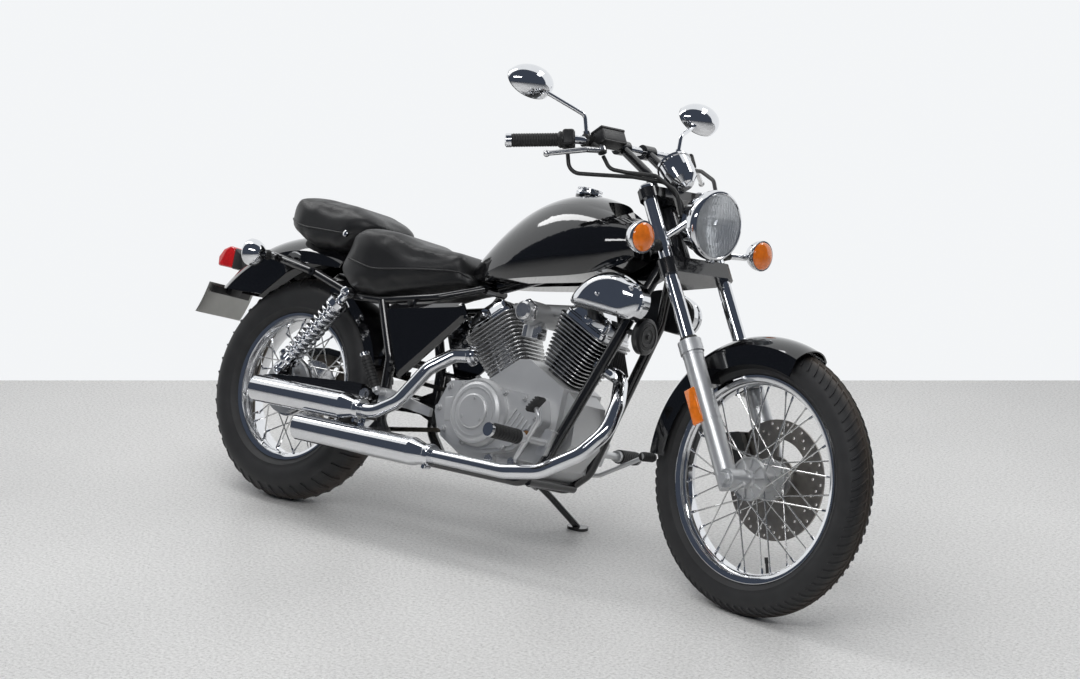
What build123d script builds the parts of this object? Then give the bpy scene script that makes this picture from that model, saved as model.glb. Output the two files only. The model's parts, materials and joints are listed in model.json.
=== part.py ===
from build123d import *
import os
from collections import namedtuple
from math import asin, atan2, cos, hypot, pi, radians, sin, sqrt

# Cruiser motorcycle with a V-twin engine, wire wheels and a double cradle frame.
# It is drawn upright: X forward, Y to the rider's left, Z up, the origin on the ground under
# the rear axle. The fork is drawn about its own steering axis, and each wheel about its axle.
# At the end everything is stood in its place on the floor, leaning on the side stand.

os.makedirs("parts", exist_ok=True)

# ---- Driving sizes, millimetres and degrees ----
WHEELBASE = 1488
RAKE = 30.3  # steering axis from the vertical
TRAIL = 120.3
LEAN = 19.05  # to the left, on the stand
STEER = -12.0  # turned to the right
STEER_LOCK = 40  # each way
RUNNING = 0.05  # radial gap of a turning fit
SEAT_GAP = 0.3  # between a soft or curved piece and what carries it
CLEAR = 5.5  # between pieces that move past each other

FRONT_AXLE_R = 8
REAR_AXLE_R = 8.5
FORK_HALF = 92  # fork leg from the centre plane
FORK_LEAD = 37  # fork legs ahead of the steering axis
STANCHION_R = 17.5
SLIDER_R = 24.5
STEM_R = 15
HEAD_R = 27
SLIDER_TOP = 678  # these are along the steering axis
LOWER_CLAMP = (849, 890)
UPPER_CLAMP = (1052, 1078)
BAR_R = 11

FRAME_TUBE_R = 14
CRADLE_HALF = 98
CRADLE_Z = 190
UPRIGHT_HALF = 106  # frame tubes outside the chain
PIVOT = (352, 325)  # swingarm pivot, x and z
ARM_HALF = 118
CHAIN_Y = 80
PLATE_Y = (92, 104)  # pivot plates of the frame

CRANK = (822, 335)  # crankshaft, x and z
CASE_HALF = 82
EXHAUST_R = 18.5
MUFFLER_R = 36

rake = radians(RAKE)


def tube(points, radius, bend=None):
    """Round bar through points, its corners bent to one radius or one each."""
    with BuildLine() as route:
        if bend is None:
            Line(*points)
        else:
            FilletPolyline(*points, radius=bend)
    with BuildSketch(Plane(route.line @ 0, z_dir=route.line % 0)) as end:
        Circle(radius)
    sweep(sections=end.sketch, path=route.line)


def bar_between(start, end, radius, mode=Mode.ADD):
    """Straight round bar or bore from one point to another."""
    run = Vector(*end) - Vector(*start)
    with Locations(Plane(origin=start, z_dir=run)):
        Cylinder(radius, run.length, align=(Align.CENTER, Align.CENTER, Align.MIN), mode=mode)


def across(x, z, radius, y_from, y_to, mode=Mode.ADD):
    """Round bar or bore lying across the machine."""
    bar_between((x, y_from, z), (x, y_to, z), radius, mode)


# ---- Wheels, each about its own axle along Y ----
Wheel = namedtuple(
    "Wheel",
    "name radius width crown rim rim_half bore flanges flange_r lacing spoke_spread",
)
FRONT = Wheel("front", 312, 80, 41, 239.3, 27, FRONT_AXLE_R, (-33, 30), 49, 52, 8)
REAR = Wheel("rear", 307, 130, 60, 204.5, 44, REAR_AXLE_R, (-46, 40), 82, 34, 14)
RIM_WALL = 4
RIM_SEAT = 11  # bead seat below the flange
RIM_WELL = 22  # well below the flange
CROWN_ANGLES = (-42, -20, 0, 20, 42)  # corners across the crown, from its middle
TYRE_FLATS = 36  # round a tyre
BEAD_GAP = 1.1  # at the flats' corners, so that their middles clear the rim
SIDE_BAND = 4  # width of the upright band at the widest place
SPOKES = 36
SPOKE_R = 2
DISC_Y = 59
DISC_T = 5
DISC_R = 141
DISC_HOLE_R = 3.5
DISC_HOLES = 18  # in each row
DISC_ROWS = ((110, 0), (121, 7), (132, 14))  # radius and first angle
SPROCKET_R = 96
SPROCKET_T = 6



def crown_corner(w, angle):
    """Place across the tyre and radius of a corner of its crown."""
    return (w.crown * sin(radians(angle)), w.radius - w.crown * (1 - cos(radians(angle))))


def flats(stations, mode=Mode.ADD):
    """Solid with flats all round the axle, through (y, radius) stations."""
    rings = []
    for y, radius in stations:
        with BuildSketch(Plane.XZ.offset(-y)) as ring:
            RegularPolygon(radius, TYRE_FLATS)
        rings.append(ring.sketch.face())
    loft(rings, ruled=True, mode=mode)


wheel_parts = {}
for w in (FRONT, REAR):
    half, widest = w.width / 2, w.radius - 0.45 * (w.radius - w.rim)
    bead = w.rim_half - RIM_WALL
    seat = w.rim - RIM_SEAT
    with BuildPart() as tyre:
        flats([(-half, widest + SIDE_BAND / 2), *[crown_corner(w, a) for a in CROWN_ANGLES],
               (half, widest + SIDE_BAND / 2)])
        for end in (-1, 1):
            flats([(end * half, widest - SIDE_BAND / 2), (end * bead, w.rim + BEAD_GAP)],
                  Mode.SUBTRACT)
        with BuildSketch(Plane.XZ.offset(-half)) as bore:
            Circle(seat)
        extrude(bore.sketch, amount=w.width, mode=Mode.SUBTRACT)
    tyre.part.label = f"{w.name}_tyre"

    well = w.rim - RIM_WELL
    with BuildPart() as rim:
        with BuildSketch(Plane.YZ):
            half = [(w.rim_half, w.rim), (w.rim_half, seat - RIM_WALL), (w.spoke_spread + 6, well)]
            with BuildLine():
                Polyline((bead, seat), (bead, w.rim), *half, *[(-y, r) for y, r in half[::-1]],
                         (-bead, w.rim), (-bead, seat), close=True)
            make_face()
        revolve(axis=Axis.Y)
    rim.part.label = f"{w.name}_rim"
    wheel_parts[w.name] = [tyre.part, rim.part]


def spokes(w):
    """Laced wire spokes: alternate sides, alternate crossings, heads in and heads out."""
    wires = []
    for number in range(SPOKES):
        turn = 2 * pi * number / SPOKES
        side = 1 if number % 2 else -1
        cross = 1 if number // 2 % 2 else -1
        hub_turn = turn + cross * radians(w.lacing)
        hub_y = w.flanges[side > 0] + cross * SPOKE_R
        hub_r = w.flange_r - 5
        rim_r = w.rim - RIM_WELL - 0.8
        start = Vector(hub_r * cos(hub_turn), hub_y, hub_r * sin(hub_turn))
        run = Vector(rim_r * cos(turn), side * w.spoke_spread, rim_r * sin(turn)) - start
        with BuildSketch(Plane(origin=start, z_dir=run)) as wire:
            RegularPolygon(SPOKE_R, 4)
        wires.append(extrude(wire.sketch, amount=run.length, mode=Mode.PRIVATE))
    add(wires)


def turned(profile, mode=Mode.ADD):
    """Solid turned about the axle from (y, radius) points."""
    with BuildSketch(Plane.YZ) as section:
        with BuildLine():
            Polyline(*profile, close=True)
        make_face()
    revolve(section.sketch, axis=Axis.Y, mode=mode)


FRONT_HUB = (-48, 62)
REAR_HUB = (-50, 66)
DRUM_R = 80
with BuildPart() as front_hub:
    bore = FRONT_AXLE_R + RUNNING
    turned([(FRONT_HUB[0], bore), (FRONT_HUB[0], 20), (-40, 26), (-36, 50), (-31, 50), (-29, 27),
            (26, 27), (27, 50), (32, 50), (34, 34), (48, 34), (49, 46),
            (DISC_Y - DISC_T / 2, 46), (DISC_Y - DISC_T / 2, 30), (FRONT_HUB[1], 30),
            (FRONT_HUB[1], bore)])
    spokes(FRONT)
front_hub.part.label = "front_hub"

with BuildPart() as brake_disc:
    with BuildSketch(Plane.XZ.offset(-DISC_Y)):
        Circle(DISC_R)
        Circle(30, mode=Mode.SUBTRACT)
        with PolarLocations(0, 5):
            with BuildLine():
                inner = CenterArc((0, 0), 55, 8, 56)
                outer = CenterArc((0, 0), 96, 8, 56)
                Line(inner @ 0, outer @ 0)
                Line(inner @ 1, outer @ 1)
            make_face(mode=Mode.SUBTRACT)
        for row_r, first in DISC_ROWS:
            with PolarLocations(row_r, DISC_HOLES, start_angle=first):
                Circle(DISC_HOLE_R, mode=Mode.SUBTRACT)
    extrude(amount=DISC_T / 2, both=True)
brake_disc.part.label = "brake_disc"
wheel_parts["front"] += [front_hub.part, brake_disc.part]

with BuildPart() as rear_hub:
    bore = REAR_AXLE_R + RUNNING
    turned([(REAR_HUB[0], bore), (REAR_HUB[0], 60), (-49, DRUM_R + 4), (-43, DRUM_R + 4),
            (-42, DRUM_R), (-20, DRUM_R), (-12, 46), (32, 46), (36, DRUM_R + 4), (42, DRUM_R + 4),
            (44, 62), (REAR_HUB[1], 62), (REAR_HUB[1], bore)])
    spokes(REAR)
rear_hub.part.label = "rear_hub"

with BuildPart() as rear_sprocket:
    with BuildSketch(Plane.XZ.offset(-CHAIN_Y)):
        Circle(SPROCKET_R)
        Circle(34, mode=Mode.SUBTRACT)
        with PolarLocations(72, 6):
            Circle(14, mode=Mode.SUBTRACT)
    extrude(amount=SPROCKET_T / 2, both=True)
    with BuildSketch(Plane.XZ.offset(-REAR_HUB[1])):
        Circle(56)
        Circle(34, mode=Mode.SUBTRACT)
    extrude(amount=-(CHAIN_Y - REAR_HUB[1]))
rear_sprocket.part.label = "rear_sprocket"
wheel_parts["rear"] += [rear_hub.part, rear_sprocket.part]



# ---- Chassis, upright ----
def turned_on(origin, axis, profile, mode=Mode.ADD):
    """Solid turned about a fore-and-aft axis, from (radius, along) points."""
    plane = Plane(origin=origin, x_dir=(0, 1, 0), z_dir=Vector(0, 1, 0).cross(Vector(*axis)))
    with BuildSketch(plane) as section:
        with BuildLine():
            Polyline(*profile, close=True)
        make_face()
    revolve(section.sketch, axis=Axis(origin, axis), mode=mode)


def plate(outline, y_from, y_to, mode=Mode.ADD, corner=0):
    """Flat piece of an (x, z) outline between two distances from the centre plane."""
    with BuildSketch(Plane.XZ.offset(-y_from)) as face:
        with BuildLine():
            Polyline(*outline, close=True)
        make_face()
        if corner:
            fillet(face.vertices(), corner)
    extrude(face.sketch, amount=-(y_to - y_from), mode=mode)


def steering_point(along):
    """Point of the steering axis, in the upright machine."""
    return Vector(WHEELBASE + TRAIL - along * sin(rake), 0, along * cos(rake))


def steering_sweep(reach, heights):
    """Takes away the space that the fork sweeps ahead of its rearmost places, with clearance."""
    low, high = heights[0] - CLEAR, heights[1] + CLEAR
    leg_at = hypot(FORK_LEAD, FORK_HALF)
    back = atan2(FORK_HALF, FORK_LEAD) + radians(STEER_LOCK) + asin((reach + CLEAR) / leg_at)
    span = 1.5 * leg_at
    with BuildSketch(Plane(origin=steering_point(low), x_dir=(cos(rake), 0, sin(rake)),
                           z_dir=(-sin(rake), 0, cos(rake)))) as swept:
        Circle(leg_at + reach + CLEAR)
        with BuildLine():
            Polyline((0, 0), (span * cos(back), span * sin(back)), (-span, span),
                     (-span, -span), (span * cos(back), -span * sin(back)), close=True)
        make_face(mode=Mode.SUBTRACT)
    extrude(swept.sketch, amount=high - low, mode=Mode.SUBTRACT)


CLAMP_EYE = 25  # outside radius of the yokes' eyes
SIDES = (1, -1)  # left, right
RAIL_R = 11
RAIL = ((600, 40, 650), (512, 108, 606), (322, 112, 575), (226, 112, 575), (60, 108, 622),
        (-140, 100, 655))
BACKBONE = ((1118, 0, 838), (620, 0, 666))
BACKBONE_R = 20
SHOCK_TOP = (226, 578)
SHOCK_FOOT = (40, 346)
SHOCK_Y = 143
EYE_R = 7
ENGINE_BASE = 207

GUARD = (86, 425, 372, 215)  # rear fender's half width, crown, shoulder and skirt radii
# Where the fender is bolted between the rails, x, and the boss's outer face, threaded for a rack
FENDER_BOSSES = ((60, 124), (-80, 121))
RACK_THREAD_R = 4
RACK_DEPTH = 16


def rail_at(x):
    """Distance from the centre plane and height of the seat rail at a place along it."""
    for (x_a, y_a, z_a), (x_b, y_b, z_b) in zip(RAIL, RAIL[1:]):
        if x_b <= x <= x_a:
            share = (x - x_a) / (x_b - x_a)
            return y_a + (y_b - y_a) * share, z_a + (z_b - z_a) * share


# ---- Side stand pivot, on a lug of the left cradle tube ----
STAND_PIVOT = Vector(760, CRADLE_HALF + FRAME_TUBE_R + 20, CRADLE_Z - 2)
STAND_DOWN = Vector(55, 143, -100)
STAND_BACK = Vector(-0.97, 0.22, 0.1)
STAND_AXIS = STAND_DOWN.cross(STAND_BACK).normalized()
STAND_PIN_R = 6
STAND_BOSS = 10  # half height of the boss

with BuildPart() as frame:
    bar_between(steering_point(LOWER_CLAMP[1] + 2), steering_point(UPPER_CLAMP[0] - 2), HEAD_R)
    tube(BACKBONE, BACKBONE_R)
    for side in SIDES:
        tube([(1122, side * 14, 804), (1085, side * 66, 640), (938, side * CRADLE_HALF, 240),
              (880, side * CRADLE_HALF, CRADLE_Z), (470, side * CRADLE_HALF, CRADLE_Z),
              (398, side * UPRIGHT_HALF, 262), (390, side * UPRIGHT_HALF, 430),
              (330, side * RAIL[2][1], RAIL[2][2])], FRAME_TUBE_R, [90, 50, 50, 60, 60, 60])
        tube([(x, side * y, z) for x, y, z in RAIL], RAIL_R, 40)
        plate([(337, 308), (402, 285), (402, 372), (337, 342)], side * PLATE_Y[0],
              side * PLATE_Y[1])
        for x, face in FENDER_BOSSES:
            rail_y, rail_z = rail_at(x)
            across(x, rail_z, 10, side * GUARD[0], side * face)
            across(x, rail_z, RACK_THREAD_R, side * (face - RACK_DEPTH), side * face,
                   Mode.SUBTRACT)
        across(*SHOCK_TOP, EYE_R, side * (RAIL[3][1]), side * (SHOCK_Y + 14))
        across(*SHOCK_TOP, 13, side * (RAIL[3][1]), side * (SHOCK_Y - 13))
    ear = STAND_AXIS * (STAND_BOSS + 6)
    slot = STAND_AXIS * (STAND_BOSS + SEAT_GAP)
    bar_between((STAND_PIVOT.X, CRADLE_HALF, CRADLE_Z), STAND_PIVOT, STAND_BOSS + 6)
    bar_between(STAND_PIVOT - ear, STAND_PIVOT + ear, 13)
    bar_between(STAND_PIVOT - slot, STAND_PIVOT + slot, 20, Mode.SUBTRACT)
    bar_between(STAND_PIVOT - ear * 1.1, STAND_PIVOT + ear * 1.1, STAND_PIN_R)
    across(900, ENGINE_BASE - 12, 12, -CRADLE_HALF, CRADLE_HALF)
    across(640, ENGINE_BASE - 12, 12, -CRADLE_HALF, CRADLE_HALF)
    across(600, 650, 12, -40, 40)
    across(PIVOT[0] + 38, 430, 12, -UPRIGHT_HALF, UPRIGHT_HALF)
    bar_between(steering_point(LOWER_CLAMP[1]), steering_point(UPPER_CLAMP[0]), STEM_R + RUNNING,
                Mode.SUBTRACT)
    across(*PIVOT, 8, -140, 140, Mode.SUBTRACT)
frame.part.label = "frame"

with BuildPart() as swingarm:
    across(*PIVOT, 8, -112, 112)
    across(*PIVOT, 16, -PLATE_Y[0] + SEAT_GAP, PLATE_Y[0] - SEAT_GAP)
    plate([(312, 304), (332, 304), (332, 346), (312, 346)], -ARM_HALF, ARM_HALF)
    for side in SIDES:
        across(*PIVOT, 13, side * PLATE_Y[1], side * 112)
        plate([(-28, 284), (-28, 322), (10, 330), (300, 350), (332, 350), (332, 300),
               (300, 300), (10, 284)], side * (ARM_HALF - 13), side * (ARM_HALF + 13))
        plate([(325, 306), (PIVOT[0], 310), (PIVOT[0], 340), (325, 344)], side * 62, side * 84)
        plate([(18, 322), (62, 322), (54, 358), (30, 358)], side * (ARM_HALF - 6),
              side * (ARM_HALF + 6))
        across(*SHOCK_FOOT, EYE_R, side * ARM_HALF, side * (SHOCK_Y + 14))
    across(0, REAR.radius, REAR_AXLE_R, -134, 134)
    across(0, REAR.radius, 15, ARM_HALF - 12, REAR_HUB[1] + SEAT_GAP)
    across(0, REAR.radius, 15, 12 - ARM_HALF, -66)
swingarm.part.label = "swingarm"

with BuildPart() as rear_brake:
    across(0, REAR.radius, 78, -66, -55.5)
    across(0, REAR.radius, REAR_AXLE_R, -70, -50, Mode.SUBTRACT)
    across(30, REAR.radius + 44, 11, -66, -88)
    plate([(24, 344), (38, 344), (58, 244), (48, 238), (40, 244)], -82, -88)
rear_brake.part.label = "rear_brake"

with BuildPart() as rear_shocks:
    run = Vector(SHOCK_TOP[0], 0, SHOCK_TOP[1]) - Vector(SHOCK_FOOT[0], 0, SHOCK_FOOT[1])
    for side in SIDES:
        foot = (SHOCK_FOOT[0], side * SHOCK_Y, SHOCK_FOOT[1])
        length = run.length
        coils = 9
        low, high = 46, length - 40
        pitch = (high - low) / coils
        outline = [(0, 8), (12, 8), (14, 30), (24, 34), (24, low)]
        for coil in range(coils):
            outline += [(27, low + pitch * (coil + 0.5)), (20, low + pitch * (coil + 1))]
        outline += [(26, high), (26, high + 16), (14, high + 22), (12, length - 8), (0, length - 8)]
        turned_on(foot, run.normalized(), outline)
        for x, z in (SHOCK_TOP, SHOCK_FOOT):
            across(x, z, 14, side * (SHOCK_Y - 12), side * (SHOCK_Y + 12))
            across(x, z, EYE_R, side * (SHOCK_Y - 20), side * (SHOCK_Y + 20), Mode.SUBTRACT)
rear_shocks.part.label = "rear_shocks"

# ---- Engine ----
# Each cylinder stands on its own plane, at its tilt from the vertical, distances from the crank
CYLINDER_TILTS = (-37, 25)
CYLINDER_BASE = 140
FIN_TOP = 285
FIN_COUNT = 14
FIN_T = 3.2
FIN_RIBS = ((-22, -49), (22, -49), (-22, 49), (22, 49))  # upright ribs through the fins
FIN_SIZES = (124, 168)  # across at the base and at the top


def cylinder_plane(tilt, along):
    lean = radians(tilt)
    up = Vector(sin(lean), 0, cos(lean))
    return Plane(origin=Vector(CRANK[0], 0, CRANK[1]) + up * along, z_dir=up,
                 x_dir=(cos(lean), 0, -sin(lean)))


def cylinder_corner(tilt, along, sideways):
    point = cylinder_plane(tilt, along).from_local_coords(Vector(sideways, 0, 0))
    return (point.X, point.Z)


with BuildPart() as crankcase:
    base_rear = [cylinder_corner(CYLINDER_TILTS[0], CYLINDER_BASE, s) for s in (-66, 66)]
    base_front = [cylinder_corner(CYLINDER_TILTS[1], CYLINDER_BASE, s) for s in (-66, 66)]
    plate([(650, 380), *base_rear, *base_front, (940, 235), (900, ENGINE_BASE),
           (680, ENGINE_BASE), (650, 230)], -CASE_HALF, CASE_HALF)
    plate([(900, 420), (930, 438), (975, 404), (982, 300), (940, 235), (900, 235)], -62, 62)
    plate([(585, 260), (660, 222), (660, 392), (600, 380), (578, 330)], -66, 66)
    plate([(585, 260), (660, 222), (660, 392), (600, 380), (578, 330)], -CASE_HALF, -60)
crankcase.part.label = "crankcase"



def turned_across(x, z, profile, mode=Mode.ADD):
    """Solid turned about an axis that lies across the machine, from (radius, y) points."""
    with BuildSketch(Plane(origin=(x, 0, z), x_dir=(1, 0, 0), z_dir=(0, 0, 1))) as section:
        with BuildLine():
            Polyline(*profile, close=True)
        make_face()
    revolve(section.sketch, axis=Axis((x, 0, z), (0, 1, 0)), mode=mode)


CLUTCH = (733, 336)
ROTOR = (832, 335)
DRIVE = (702, 330)  # front sprocket's cover
with BuildPart() as engine_covers:
    plate([(581, 320), (612, 401), (684, 412), (905, 402), (925, 340), (850, 262), (760, 238),
           (661, 246), (600, 280)], -CASE_HALF, -118, corner=14)
    plate([(590, 322), (617, 394), (684, 404), (898, 395), (916, 340), (846, 270), (758, 247),
           (664, 255), (607, 287)], -118, -124, corner=12)
    turned_across(*CLUTCH, [(0, -122), (86, -122), (86, -134), (80, -144), (68, -150), (44, -153),
                            (44, -157), (40, -159), (0, -159)])
    turned_across(*ROTOR, [(0, CASE_HALF), (78, CASE_HALF), (78, 124), (72, 133), (58, 139),
                           (30, 142), (30, 146), (0, 146)])
    turned_across(*DRIVE, [(0, CASE_HALF), (50, CASE_HALF), (50, 110), (44, 117), (0, 120)])
engine_covers.part.label = "engine_covers"

with BuildPart() as cylinders:
    for tilt in CYLINDER_TILTS:
        with BuildSketch(cylinder_plane(tilt, CYLINDER_BASE)) as barrel:
            Circle(50)
        extrude(barrel.sketch, amount=FIN_TOP - CYLINDER_BASE)
        for fin in range(FIN_COUNT):
            share = fin / (FIN_COUNT - 1)
            size = FIN_SIZES[0] + (FIN_SIZES[1] - FIN_SIZES[0]) * share
            at = CYLINDER_BASE + 8 + (FIN_TOP - CYLINDER_BASE - 8 - FIN_T) * share
            with BuildSketch(cylinder_plane(tilt, at)) as fin_face:
                RectangleRounded(size, size * 0.86, size * 0.16)
            extrude(fin_face.sketch, amount=FIN_T)
        with BuildSketch(cylinder_plane(tilt, CYLINDER_BASE + 8)) as ribs:
            with Locations(*FIN_RIBS):
                Rectangle(5, 6)
        extrude(ribs.sketch, amount=FIN_TOP - CYLINDER_BASE - 8)
cylinders.part.label = "cylinders"

# Slices of a rocker cover: height above the fins, length, width, corner
COVER_SLICES = ((0, 148, 130, 24), (12, 148, 130, 24), (14, 136, 122, 22), (34, 122, 112, 20),
                (51, 88, 96, 18))
with BuildPart() as head_covers:
    for tilt in CYLINDER_TILTS:
        for low, high in zip(COVER_SLICES, COVER_SLICES[1:]):
            slices = []
            for up, long, wide, corner in (low, high):
                with BuildSketch(cylinder_plane(tilt, FIN_TOP + up)) as outline:
                    Rectangle(long, wide)
                    chamfer(outline.vertices(), corner)
                slices.append(outline.sketch.face())
            loft(slices)
        with BuildSketch(cylinder_plane(tilt, FIN_TOP + 12)) as bosses:
            with GridLocations(110, 92, 2, 2):
                Circle(8)
        extrude(bosses.sketch, amount=20)
head_covers.part.label = "head_covers"

CARB = (795, 606)
with BuildPart() as carburettor:
    across(*CARB, 30, -96, 60)
    across(*CARB, 24, -116, -96)
    bar_between((CARB[0] - 98, -20, CARB[1] + 8), (CARB[0] + 90, -20, CARB[1] + 24), 15)
    add(cylinders.part, mode=Mode.SUBTRACT)
    add(head_covers.part, mode=Mode.SUBTRACT)
    bar_between((CARB[0], -50, CARB[1]), (CARB[0], -50, CARB[1] - 62), 24)
carburettor.part.label = "carburettor"

POD_Y = (100, 166)
with BuildPart() as air_cleaners:
    for side in SIDES:
        with BuildSketch(Plane.XZ.offset(-side * POD_Y[0])) as pod:
            with BuildLine():
                top = ThreePointArc((935, 645), (1020, 720), (1125, 712))
                nose = ThreePointArc((1125, 712), (1156, 665), (1122, 617))
                Line(nose @ 1, top @ 0)
            make_face()
            fillet(pod.vertices(), 12)
        extrude(pod.sketch, amount=-side * (POD_Y[1] - POD_Y[0]), taper=14)
        bar_between((962, side * 48, 622), (980, side * (POD_Y[0] + 4), 666), 16)
    add(head_covers.part, mode=Mode.SUBTRACT)
    steering_sweep(CLAMP_EYE, LOWER_CLAMP)
    steering_sweep(STANCHION_R, (SLIDER_TOP, UPPER_CLAMP[0]))
air_cleaners.part.label = "air_cleaners"

# ---- Exhaust ----
MUFFLER_Y = -172
UPPER_Z = 284
LOWER_Z = 207
CLAMP_LONG = 20  # muffler clamp
with BuildPart() as exhaust_pipes:
    tube([(646, -78, 476), (590, -96, 466), (540, -126, 420), (490, -158, 322),
          (430, MUFFLER_Y, UPPER_Z), (392, MUFFLER_Y, UPPER_Z)], EXHAUST_R, [40, 60, 60, 60])
    tube([(985, -14, 508), (1062, -24, 482), (1100, -72, 420), (1106, -104, 350),
          (1060, -128, 284), (970, -152, 224), (880, MUFFLER_Y, LOWER_Z),
          (652, MUFFLER_Y, LOWER_Z)], EXHAUST_R, [50, 70, 80, 90, 90, 90])
    add(cylinders.part, mode=Mode.SUBTRACT)
exhaust_pipes.part.label = "exhaust_pipes"

with BuildPart() as mufflers:
    for tail, front, z in ((-5, 392, UPPER_Z), (178, 652, LOWER_Z)):
        turned_on((tail, MUFFLER_Y, z), (1, 0, 0),
                  [(30, 0), (MUFFLER_R, 6), (MUFFLER_R, front - tail - 66),
                   (EXHAUST_R + 5, front - tail - CLAMP_LONG),
                   (EXHAUST_R + 9, front - tail - CLAMP_LONG),
                   (EXHAUST_R + 9, front - tail), (0, front - tail), (0, 60), (24, 60), (24, 0)])
    plate([(376, 228), (400, 228), (400, 262), (376, 262)], -165, -108)
    add(frame.part, mode=Mode.SUBTRACT)
    add(exhaust_pipes.part, mode=Mode.SUBTRACT)
mufflers.part.label = "mufflers"

# ---- Bodywork ----
TANK_SECTIONS = (  # x, half width, bottom, widest, shoulder width, shoulder, top
    (545, 34, 672, 688, 20, 704, 712),
    (640, 88, 671, 730, 56, 792, 822),
    (765, 124, 688, 775, 84, 868, 902),
    (900, 142, 706, 805, 96, 888, 925),
    (1010, 136, 734, 815, 84, 872, 892),
    (1076, 104, 774, 815, 70, 846, 856),
)


FILLER = (838, 0, 928)  # top of the filler's lip, under its cap


def backbone_top(x):
    """Height that clears the backbone tube at a place along it."""
    front, rear = BACKBONE
    slope = (front[2] - rear[2]) / (front[0] - rear[0])
    return rear[2] + (x - rear[0]) * slope + (BACKBONE_R + SEAT_GAP) * sqrt(1 + slope**2)


with BuildPart() as fuel_tank:
    for x, wide, low, mid, shoulder_y, shoulder_z, high in TANK_SECTIONS:
        with BuildSketch(Plane.YZ.offset(x)):
            with BuildLine():
                foot_y = wide * 0.82
                Line((-foot_y, low), (foot_y, low))
                ThreePointArc((foot_y, low), (wide, mid), (shoulder_y, shoulder_z))
                ThreePointArc((shoulder_y, shoulder_z), (0, high), (-shoulder_y, shoulder_z))
                ThreePointArc((-shoulder_y, shoulder_z), (-wide, mid), (-foot_y, low))
            make_face()
    loft()
    bar_between(steering_point(820), steering_point(1120), HEAD_R + 16, Mode.SUBTRACT)
    steering_sweep(STANCHION_R, (LOWER_CLAMP[0], UPPER_CLAMP[1]))
    bar_between(steering_point(UPPER_CLAMP[0] - CLEAR), steering_point(UPPER_CLAMP[1] + 40),
                hypot(FORK_LEAD, FORK_HALF) + CLAMP_EYE + CLEAR, Mode.SUBTRACT)
    plate([(500, 600), (500, backbone_top(500)), (1200, backbone_top(1200)), (1200, 600)],
          -BACKBONE_R - 4, BACKBONE_R + 4, Mode.SUBTRACT)
    with Locations(Plane(origin=FILLER, z_dir=(-0.05, 0, 1))):
        Cylinder(34, 30, align=(Align.CENTER, Align.CENTER, Align.MAX))
        Cylinder(28, 12, align=(Align.CENTER, Align.CENTER, Align.MIN))
fuel_tank.part.label = "fuel_tank"

with BuildPart() as rider_seat:
    plate([(541, 718), (400, 727), (330, 748), (240, 752), (205, 735), (174, 640), (228, 596),
           (319, 593), (469, 628), (580, 660), (580, 667), (541, 667)], -145, 145)
    with BuildSketch(Plane.XY.offset(500)) as plan:
        with BuildLine():
            Polyline((620, 70), (520, 84), (400, 118), (270, 140), (120, 132), (120, -132),
                     (270, -140), (400, -118), (520, -84), (620, -70), close=True)
        make_face()
    extrude(plan.sketch, amount=400, mode=Mode.INTERSECT)
rider_seat.part.label = "rider_seat"


def arch(axle, start, sweep, section, mode=Mode.ADD):
    """Solid mudguard core: crown, shoulder and skirt radii swept round the axle from an angle."""
    half, crown, shoulder, skirt = section
    up = Vector(sin(radians(start)), 0, cos(radians(start)))
    plane = Plane(origin=axle, x_dir=(0, 1, 0), z_dir=Vector(0, 1, 0).cross(up))
    with BuildSketch(plane) as core:
        with BuildLine():
            ThreePointArc((-half, shoulder), (0, crown), (half, shoulder))
            Polyline((half, shoulder), (half, skirt), (-half, skirt), (-half, shoulder))
        make_face()
    revolve(core.sketch, axis=Axis(axle, (0, 1, 0)), revolution_arc=sweep, mode=mode)


REAR_AXLE = (0, 0, REAR.radius)
GUARD_T = 3
GUARD_BACK = -56  # degrees from the vertical, forward positive
GUARD_SWEEP = 76
INNER_GUARD = (66, 330, 318, 288)  # between the swingarm's legs, ahead of the tyre
INNER_GUARD_ARC = (18, 54)  # first angle and sweep


def shrunk(section, wall):
    half, crown, shoulder, skirt = section
    return (half - wall, crown - wall, shoulder - wall, skirt - wall)


with BuildPart() as rear_fender:
    arch(REAR_AXLE, GUARD_BACK, GUARD_SWEEP, GUARD)
    arch(REAR_AXLE, GUARD_BACK - 4, GUARD_SWEEP + 8, shrunk(GUARD, GUARD_T), Mode.SUBTRACT)
    plate([(-500, 541), (-151, 541), (-78, 604), (-32, 646), (300, 646), (300, 100),
           (-500, 100)], -120, 120, Mode.SUBTRACT)
    arch(REAR_AXLE, *INNER_GUARD_ARC, INNER_GUARD)
    arch(REAR_AXLE, INNER_GUARD_ARC[0] - 4, INNER_GUARD_ARC[1] + 8, shrunk(INNER_GUARD, GUARD_T),
         Mode.SUBTRACT)
    plate([(290, 452), (392, 440), (392, 428), (300, 436)], -24, 24)
    add(frame.part, mode=Mode.SUBTRACT)
rear_fender.part.label = "rear_fender"

PILLION = (-96, 236)  # rear and front ends of the passenger's pad
with BuildPart() as passenger_seat:
    plate([(236, 772), (135, 807), (18, 819), (-60, 815), (-92, 792), (-96, 752), (-15, 716),
           (29, 702), (125, 700), (170, 735)], -104, 104)
    with BuildSketch(Plane.XY.offset(600)) as plan:
        with Locations(((PILLION[0] + PILLION[1]) / 2, 0)):
            RectangleRounded(PILLION[1] - PILLION[0], 208, 62)
    extrude(plan.sketch, amount=300, mode=Mode.INTERSECT)
    arch(REAR_AXLE, -70, 140, shrunk(GUARD, -2 * SEAT_GAP), Mode.SUBTRACT)
passenger_seat.part.label = "passenger_seat"

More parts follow.
